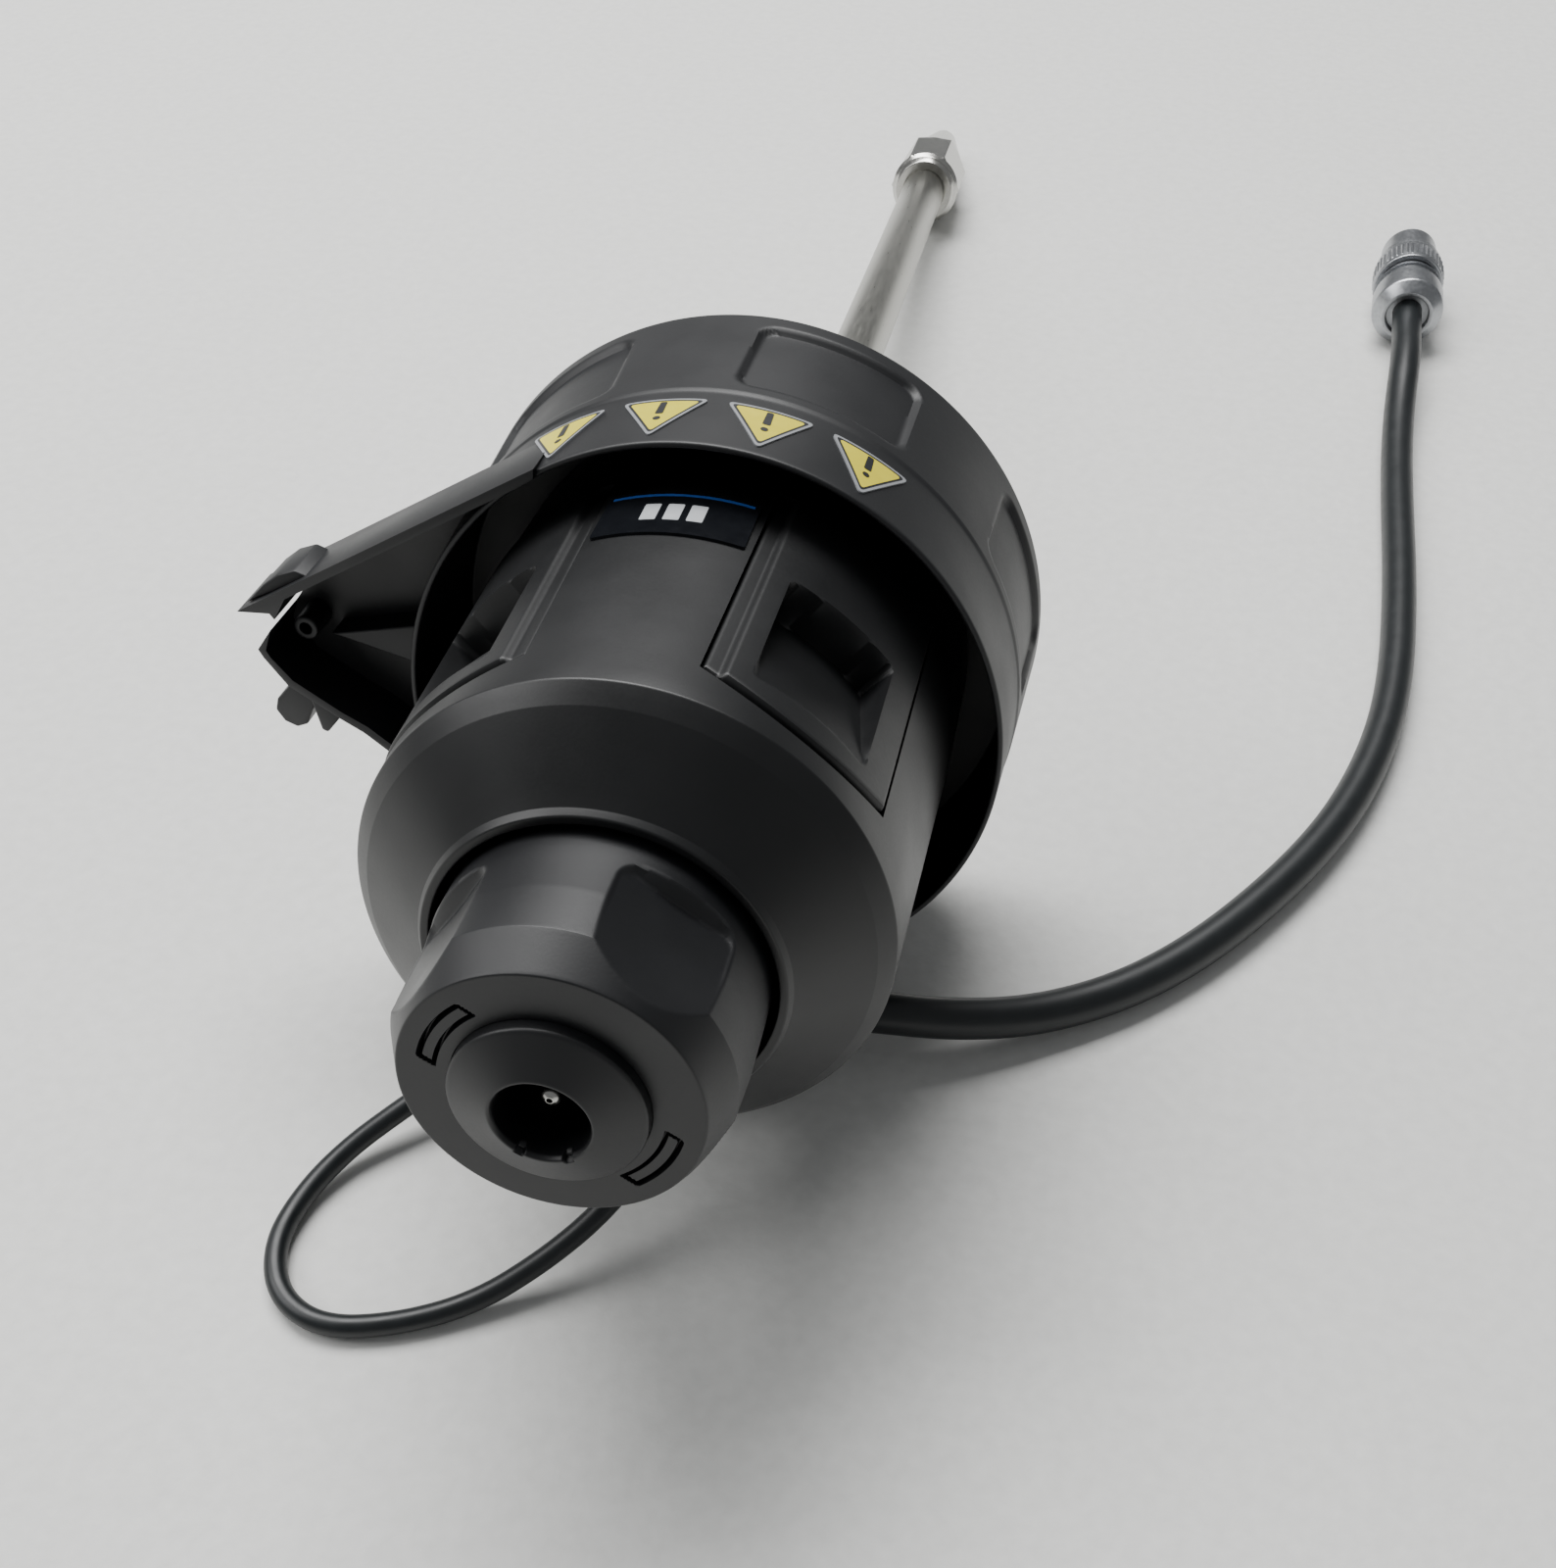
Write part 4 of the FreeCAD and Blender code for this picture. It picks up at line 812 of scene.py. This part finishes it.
boss = spun("arm_boss", filleted([
    (0.0, 26.6, 0), (1.8, 26.6, 0.1), (1.7, 31.9, 0.5), (0.8, 31.9, 0.2), (0.8, 30.0, 0.0),
    (0.0, 30.0, 0.0)]), 40, ring_black, matrix=PROBE @ Matrix.Translation((-54.0, 6.4, 0)))
stands_for(boss, "locking_ring", "ring_plastic")


# %% [markdown]
# ## Labels that follow a curved side
# A label is a thin sheet bent to the surface. Each is a stack of outlines, one inside the
# next: the printed zones are faces between the outlines, so their edges are perfectly crisp.

# %% Bend a flat outline round the probe
LABEL_LIFT = 0.22
TRIANGLE_MIDDLE, TRIANGLE_REACH, TRIANGLE_PITCH = 27.6, 6.2, 18.6


def wrapped(x, y, surface, lift):
    """Bend a flat point: x runs round the surface from the top, y is the height."""
    r = surface(y) + lift
    return plain_round(r, x / surface(y), y)


def bent_sheet(name, outlines, finishes, surface, lift, fill_steps=5):
    """Nested flat outlines of equal count, bent to a surface, with a thin edge."""
    count = len(outlines[0])
    centre = [sum(point[axis] for point in outlines[-1]) / count for axis in (0, 1)]
    rings = [(outlines[0], 0.02)] + [(outline, lift) for outline in outlines]
    zones = [0] * count
    for band_index in range(len(outlines) - 1):
        zones += [band_index] * count
    inner = outlines[-1]
    for step in range(1, fill_steps):
        share = step / fill_steps
        shrunk = [(x + (centre[0] - x) * share, y + (centre[1] - y) * share) for x, y in inner]
        rings.append((shrunk, lift))
        zones += [len(outlines) - 1] * count
    points = [wrapped(x, y, surface, height) for ring, height in rings for x, y in ring]
    faces = []
    for ring in range(len(rings) - 1):
        for index in range(count):
            after = (index + 1) % count
            faces.append((ring * count + index, ring * count + after,
                          (ring + 1) * count + after, (ring + 1) * count + index))
    last = (len(rings) - 1) * count
    faces.append(tuple(last + index for index in range(count)))
    zones.append(len(outlines) - 1)
    faces.append(tuple(reversed(range(count))))
    zones.append(0)
    return piece_from(name, points, faces, finishes, zones=zones)


def rounded_polygon(corners, corner_radius, per_side=10, per_corner=5):
    """An even outline with rounded corners, as flat points."""
    loop = []
    arcs = filleted([(x, y, corner_radius) for x, y in corners], per_corner)
    for index, here in enumerate(arcs):
        after = arcs[(index + 1) % len(arcs)]
        long = (index + 1) % (per_corner + 1) == 0
        steps = per_side if long else 1
        loop += [tuple(here.lerp(after, step / steps)) for step in range(steps)]
    return loop


def corners_round(across, height, radius, angles):
    """The corners of a regular shape round a place on the sheet."""
    return [(across + radius * math.cos(math.radians(angle)),
             height + radius * math.sin(math.radians(angle))) for angle in angles]


def triangle(across, inset, corner_radius):
    """A triangle that points at the knob, shrunk by an inset from its outer size."""
    corners = corners_round(across, TRIANGLE_MIDDLE, TRIANGLE_REACH - 2 * inset, (90, 210, 330))
    return rounded_polygon(corners, corner_radius)


# %% Four warning triangles, with a plain bar and dot in place of any sign
def side_of_band(z):
    return ring_radius(z) - front_step(z)


for number in range(4):
    across = math.radians(TRIANGLE_PITCH * (number - 1.5)) * ring_radius(TRIANGLE_MIDDLE)
    label = bent_sheet(
        "warning_triangle_%d" % (number + 1),
        [triangle(across, 0.0, 0.55), triangle(across, 0.32, 0.42), triangle(across, 0.42, 0.4),
         triangle(across, 0.62, 0.36)],
        [hazard_border, hazard_black, hazard_black, hazard_yellow], side_of_band, LABEL_LIFT)
    replaced = ["triangle_labels"] if number == 0 else []
    stands_for(label, "locking_ring", "yellow_label", *replaced)
    bar = bent_sheet("warning_bar_%d" % (number + 1), [rounded_polygon([
        (across - 0.42, 25.3), (across + 0.42, 25.3), (across + 0.5, 28.3),
        (across - 0.5, 28.3)], 0.25, 4, 3)], [hazard_black], side_of_band, LABEL_LIFT + 0.03)
    dot = bent_sheet("warning_dot_%d" % (number + 1), [rounded_polygon(
        corners_round(across, 29.4, 0.52, range(0, 360, 60)), 0.3, 1, 2)],
        [hazard_black], side_of_band, LABEL_LIFT + 0.03)
    for mark in (bar, dot):
        stands_for(mark, "locking_ring", "yellow_label")

# %% The name plate with a blue stripe and three plain bars where the name was
PLATE_LIFT, PLATE_PRINT_LIFT = 0.35, 0.38
PLATE_RADIUS = 32
plate_middle = -HOUSING_YAW * PLATE_RADIUS
half = math.radians(16.3) * PLATE_RADIUS


def plate_outline(left, right, low, high, radius=0.3, side=12):
    """A rounded rectangle beside the name plate's middle."""
    return rounded_polygon([(plate_middle + left, low), (plate_middle + right, low),
                            (plate_middle + right, high), (plate_middle + left, high)],
                           radius, side, 3)


name_plate = bent_sheet("name_plate", [plate_outline(-half, half, 34.0, 44.0)], [label_film],
                        body_radius, PLATE_LIFT)
stands_for(name_plate, "root", "label_film", "label_plate")
stripe = bent_sheet("name_plate_stripe", [plate_outline(-half + 0.6, half - 0.6, 34.7, 35.2, 0.1)],
                    [stripe_blue], body_radius, PLATE_PRINT_LIFT)
stands_for(stripe, "root", "label_film")
for number in range(3):
    left = -3.9 + 2.75 * number
    outline = plate_outline(left, left + 1.9, 37.2, 41.0, 0.2, 4)
    bar = bent_sheet("name_bar_%d" % (number + 1), [outline], [letter_grey], body_radius,
                     PLATE_PRINT_LIFT)
    stands_for(bar, "root", "label_film")

# %% [markdown]
# ## The plug
# A round push-pull plug: a tapered back nut, a body with a groove, a knurled sleeve that pulls
# back, and a smooth nose. Its parts are spun on the plug's own axis.

# %% The plug's axis
plug_mount = [mount for mount in frame["record"]["mounts"] if mount["name"] == "plug_nose"][0]
heading = Vector(plug_mount["axis"]).normalized()
plug_side = heading.cross(Vector((0, 0, 1))).normalized()
PLUG = Matrix((plug_side, plug_side.cross(heading) * -1, heading)).transposed().to_4x4()
PLUG.translation = cable_route[-1]
RECESS, GRIPPED = 1.6, 1.0
PLUG = PLUG @ Matrix.Scale(MM, 4) @ Matrix.Translation((0, 0, -(RECESS + GRIPPED)))

# %% The plug's turned parts
back_nut = spun("plug_nut_skin", filleted([
    (3.02, 1.6, 0.0), (4.4, 1.6, 0.2), (4.4, 0.0, 0.2), (5.2, 0.0, 0.3), (7.3, 2.0, 0.9),
    (7.3, 7.4, 0.4), (6.6, 8.0, 0.2), (3.02, 8.0, 0.0)]), 96, satin_chrome, matrix=PLUG)
stands_for(back_nut, "root", "plug_chrome", "plug_back_nut")
plug_body = spun("plug_body_skin", filleted([
    (3.02, 8.0, 0.0), (6.6, 8.0, 0.1), (6.6, 10.0, 0.0), (7.3, 10.0, 0.2), (6.2, 10.2, 0.0),
    (6.2, 20.4, 0.1), (6.8, 20.4, 0.2), (6.8, 21.6, 0.4), (5.8, 22.2, 0.3),
    (5.8, 28.4, 0.5), (5.4, 29.0, 0.3), (4.9, 29.0, 0.15), (4.9, 17.0, 0.0),
    (3.02, 17.0, 0.0)]), 96, satin_chrome, matrix=PLUG)
stands_for(plug_body, "root", "plug_chrome", "plug_body")
sleeve = spun("plug_sleeve_skin", filleted([
    (6.3, 12.8, 0.1), (7.3, 12.8, 0.35), (7.2, 20.0, 0.5), (6.3, 20.0, 0.1)]), 96,
    satin_chrome, matrix=PLUG)
stands_for(sleeve, "plug_sleeve", "plug_chrome", "plug_sleeve")


# %% [markdown]
# ## Ribs that repeat round an axis
# The sleeve's knurl is one small ridge repeated. Geometry Nodes stacks as many points as there
# are ridges on the axis, puts a copy on each, and turns each copy by its number.


# %% A Geometry Nodes tree that repeats a shape round its own z axis
def ring_of_copies():
    """Shape, Count and Finish go in; the realised copies come out."""
    tree = bpy.data.node_groups.new("copies_round_an_axis", "GeometryNodeTree")
    tree.interface.new_socket("Shape", in_out="INPUT", socket_type="NodeSocketGeometry")
    tree.interface.new_socket("Count", in_out="INPUT", socket_type="NodeSocketInt")
    tree.interface.new_socket("Finish", in_out="INPUT", socket_type="NodeSocketMaterial")
    tree.interface.new_socket("Shape", in_out="OUTPUT", socket_type="NodeSocketGeometry")
    start = add(tree, "NodeGroupInput").outputs
    spots = add(tree, "GeometryNodeMeshLine", links={"Count": start["Count"]})
    spots.inputs["Offset"].default_value = (0, 0, 0)
    number = add(tree, "GeometryNodeInputIndex")
    share = add(tree, "ShaderNodeMath", {"operation": "DIVIDE"})
    tree.links.new(number.outputs[0], share.inputs[0])
    tree.links.new(start["Count"], share.inputs[1])
    angle = add(tree, "ShaderNodeMath", {"operation": "MULTIPLY"})
    tree.links.new(share.outputs[0], angle.inputs[0])
    angle.inputs[1].default_value = 2 * math.pi
    turn = add(tree, "ShaderNodeCombineXYZ", links={"Z": angle.outputs[0]})
    copies = add(tree, "GeometryNodeInstanceOnPoints", links={
        "Points": spots.outputs[0], "Instance": start["Shape"], "Rotation": turn.outputs[0]})
    solid = add(tree, "GeometryNodeRealizeInstances", links={"Geometry": copies.outputs[0]})
    painted = add(tree, "GeometryNodeSetMaterial", links={
        "Geometry": solid.outputs[0], "Material": start["Finish"]})
    add(tree, "NodeGroupOutput", links={"Shape": painted.outputs[0]})
    return tree


COPIES = ring_of_copies()


def repeated(name, points, faces, count, finish, matrix):
    """Repeat a small shape, bake it to a plain mesh and put it in place."""
    made = piece_from(name, points, faces, [finish], Matrix.Identity(4))
    ring = made.modifiers.new("copies", "NODES")
    ring.node_group = COPIES
    sockets = {item.name: item.identifier for item in COPIES.interface.items_tree
               if item.in_out == "INPUT"}
    ring[sockets["Count"]] = count
    ring[sockets["Finish"]] = finish
    bake(made)
    made.data.transform(matrix)
    return made


def wedge(inner, outer, half, back, front):
    """A small ridge with a pointed crest, lying along the axis."""
    lean = min(0.4, (front - back) / 4)
    points = [(inner, -half, back), (inner, half, back), (outer, 0, back + lean),
              (inner, -half, front), (inner, half, front), (outer, 0, front - lean)]
    faces = [(0, 1, 2), (3, 5, 4), (0, 3, 4, 1), (1, 4, 5, 2), (2, 5, 3, 0)]
    return points, faces


knurl = repeated("plug_knurl", *wedge(7.1, 7.46, 0.5, 13.8, 18.6), 44, satin_chrome, PLUG)
stands_for(knurl, "plug_sleeve", "plug_chrome")

# %% The cable gland with its rings
GLAND = Matrix.Translation(cable_route[0]) @ (
    PROBE.to_3x3().normalized() @ Matrix.Rotation(HOUSING_YAW, 3, "Z")
    @ Matrix.Rotation(math.radians(90), 3, "Y")).to_4x4() @ Matrix.Scale(MM, 4)
rings = [(3.05, 0.0, 0.0), (5.4, 0.0, 0.2), (5.4, 2.0, 0.3)]
for number in range(5):
    start, outer = 2.4 + 2.0 * number, 5.3 - 0.25 * number
    rings += [(outer - 0.9, start, 0.1), (outer - 0.9, start + 0.7, 0.1),
              (outer, start + 0.8, 0.25), (outer - 0.1, start + 1.9, 0.25)]
rings += [(3.6, 13.0, 0.2), (3.05, 13.0, 0.0)]
gland = spun("cable_gland_skin", filleted(rings), 72, seal_black, matrix=GLAND)
stands_for(gland, "root", "seal_rubber", "cable_gland")

# %% [markdown]
# ## The nozzle
# A hexagon nut with a long tapered nose. It is spun, and its six flats are cut by pulling
# every point outside a flat back onto it.


# %% The nozzle
HALF_ACROSS_FLATS = 6.95


def hexed(r, turn, z):
    """Pull what lies outside a flat back onto it."""
    if -222.4 < z < -206.3 and r > HALF_ACROSS_FLATS:
        away = math.radians(nearest_turn(turn, 0, 60))
        if r * math.cos(away) > HALF_ACROSS_FLATS:
            r = HALF_ACROSS_FLATS / math.cos(away)
    return plain_round(r, turn, z)


nozzle = spun("nozzle_skin", finer(filleted([
    (4.77, -203.0, 0.1), (6.5, -203.0, 0.2), (7.0, -204.0, 0.2), (7.0, -205.2, 0.2),
    (8.0, -206.4, 0.2), (8.0, -221.0, 0.2), (7.0, -222.0, 0.2), (3.2, -244.0, 0.3),
    (2.4, -245.0, 0.2), (0.9, -245.0, 0.05), (0.9, -210.0, 0.0), (4.77, -207.0, 0.0)]), 0.5),
    192, turned_steel, hexed)
stands_for(nozzle, "root", "steel", "nebuliser_nozzle")
shaft = spun("shaft_skin", filleted([
    (3.0, 22.0, 0.1), (3.0, -206.0, 0.1), (4.75, -206.0, 0.3), (4.75, 22.0, 0.3)]), 128,
    polished_steel)
stands_for(shaft, "root", "steel", "shaft_tube")

# %% [markdown]
# ## Floor and light
# A plain pale bench, one large soft light above and behind, and a weaker one from the left.
# Black plastic shows only what it mirrors, so the size and place of the lights shape it.

# %% The bench
floor_mesh = bpy.data.meshes.new("bench")
REACH_OF_BENCH, BENCH_TOP = 2.5, -0.0003
floor_mesh.from_pydata([(x * REACH_OF_BENCH, y * REACH_OF_BENCH, BENCH_TOP)
                        for x, y in ((-1, -1), (1, -1), (1, 1), (-1, 1))], [], [(0, 1, 2, 3)])
floor = bpy.data.objects.new("bench", floor_mesh)
bpy.context.collection.objects.link(floor)
material, tree, shader, place = blank_material("pale_bench", Roughness=0.6)
speck = add(tree, "ShaderNodeTexNoise", links={"Vector": place}, Scale=420.0, Detail=3.0)
blend_colours(tree, shader, speck.outputs[0], "#d8d8d5", "#ebebe8")
bump(tree, shader, speck.outputs[0], 0.25, 0.4)
floor_mesh.materials.append(material)


# %% The lights
def soft_light(name, place, aim, size, power):
    """A rectangular area light that looks at a point."""
    lamp = bpy.data.lights.new(name, "AREA")
    lamp.shape = "RECTANGLE"
    lamp.size, lamp.size_y = size
    lamp.energy = power
    light = bpy.data.objects.new(name, lamp)
    light.location = place
    light.rotation_euler = (Vector(aim) - Vector(place)).to_track_quat("-Z", "Y").to_euler()
    bpy.context.collection.objects.link(light)


soft_light("overhead_light", (-0.25, 0.45, 1.1), (0, 0, 0), (1.0, 0.6), 25)
soft_light("left_light", (-0.9, -0.2, 0.8), (0, 0, 0.03), (0.6, 0.6), 6)
world = bpy.data.worlds.new("studio")
world.use_nodes = True
world.node_tree.nodes["Background"].inputs["Color"].default_value = colour("#dfe1e3")
world.node_tree.nodes["Background"].inputs["Strength"].default_value = 0.32
bpy.context.scene.world = world
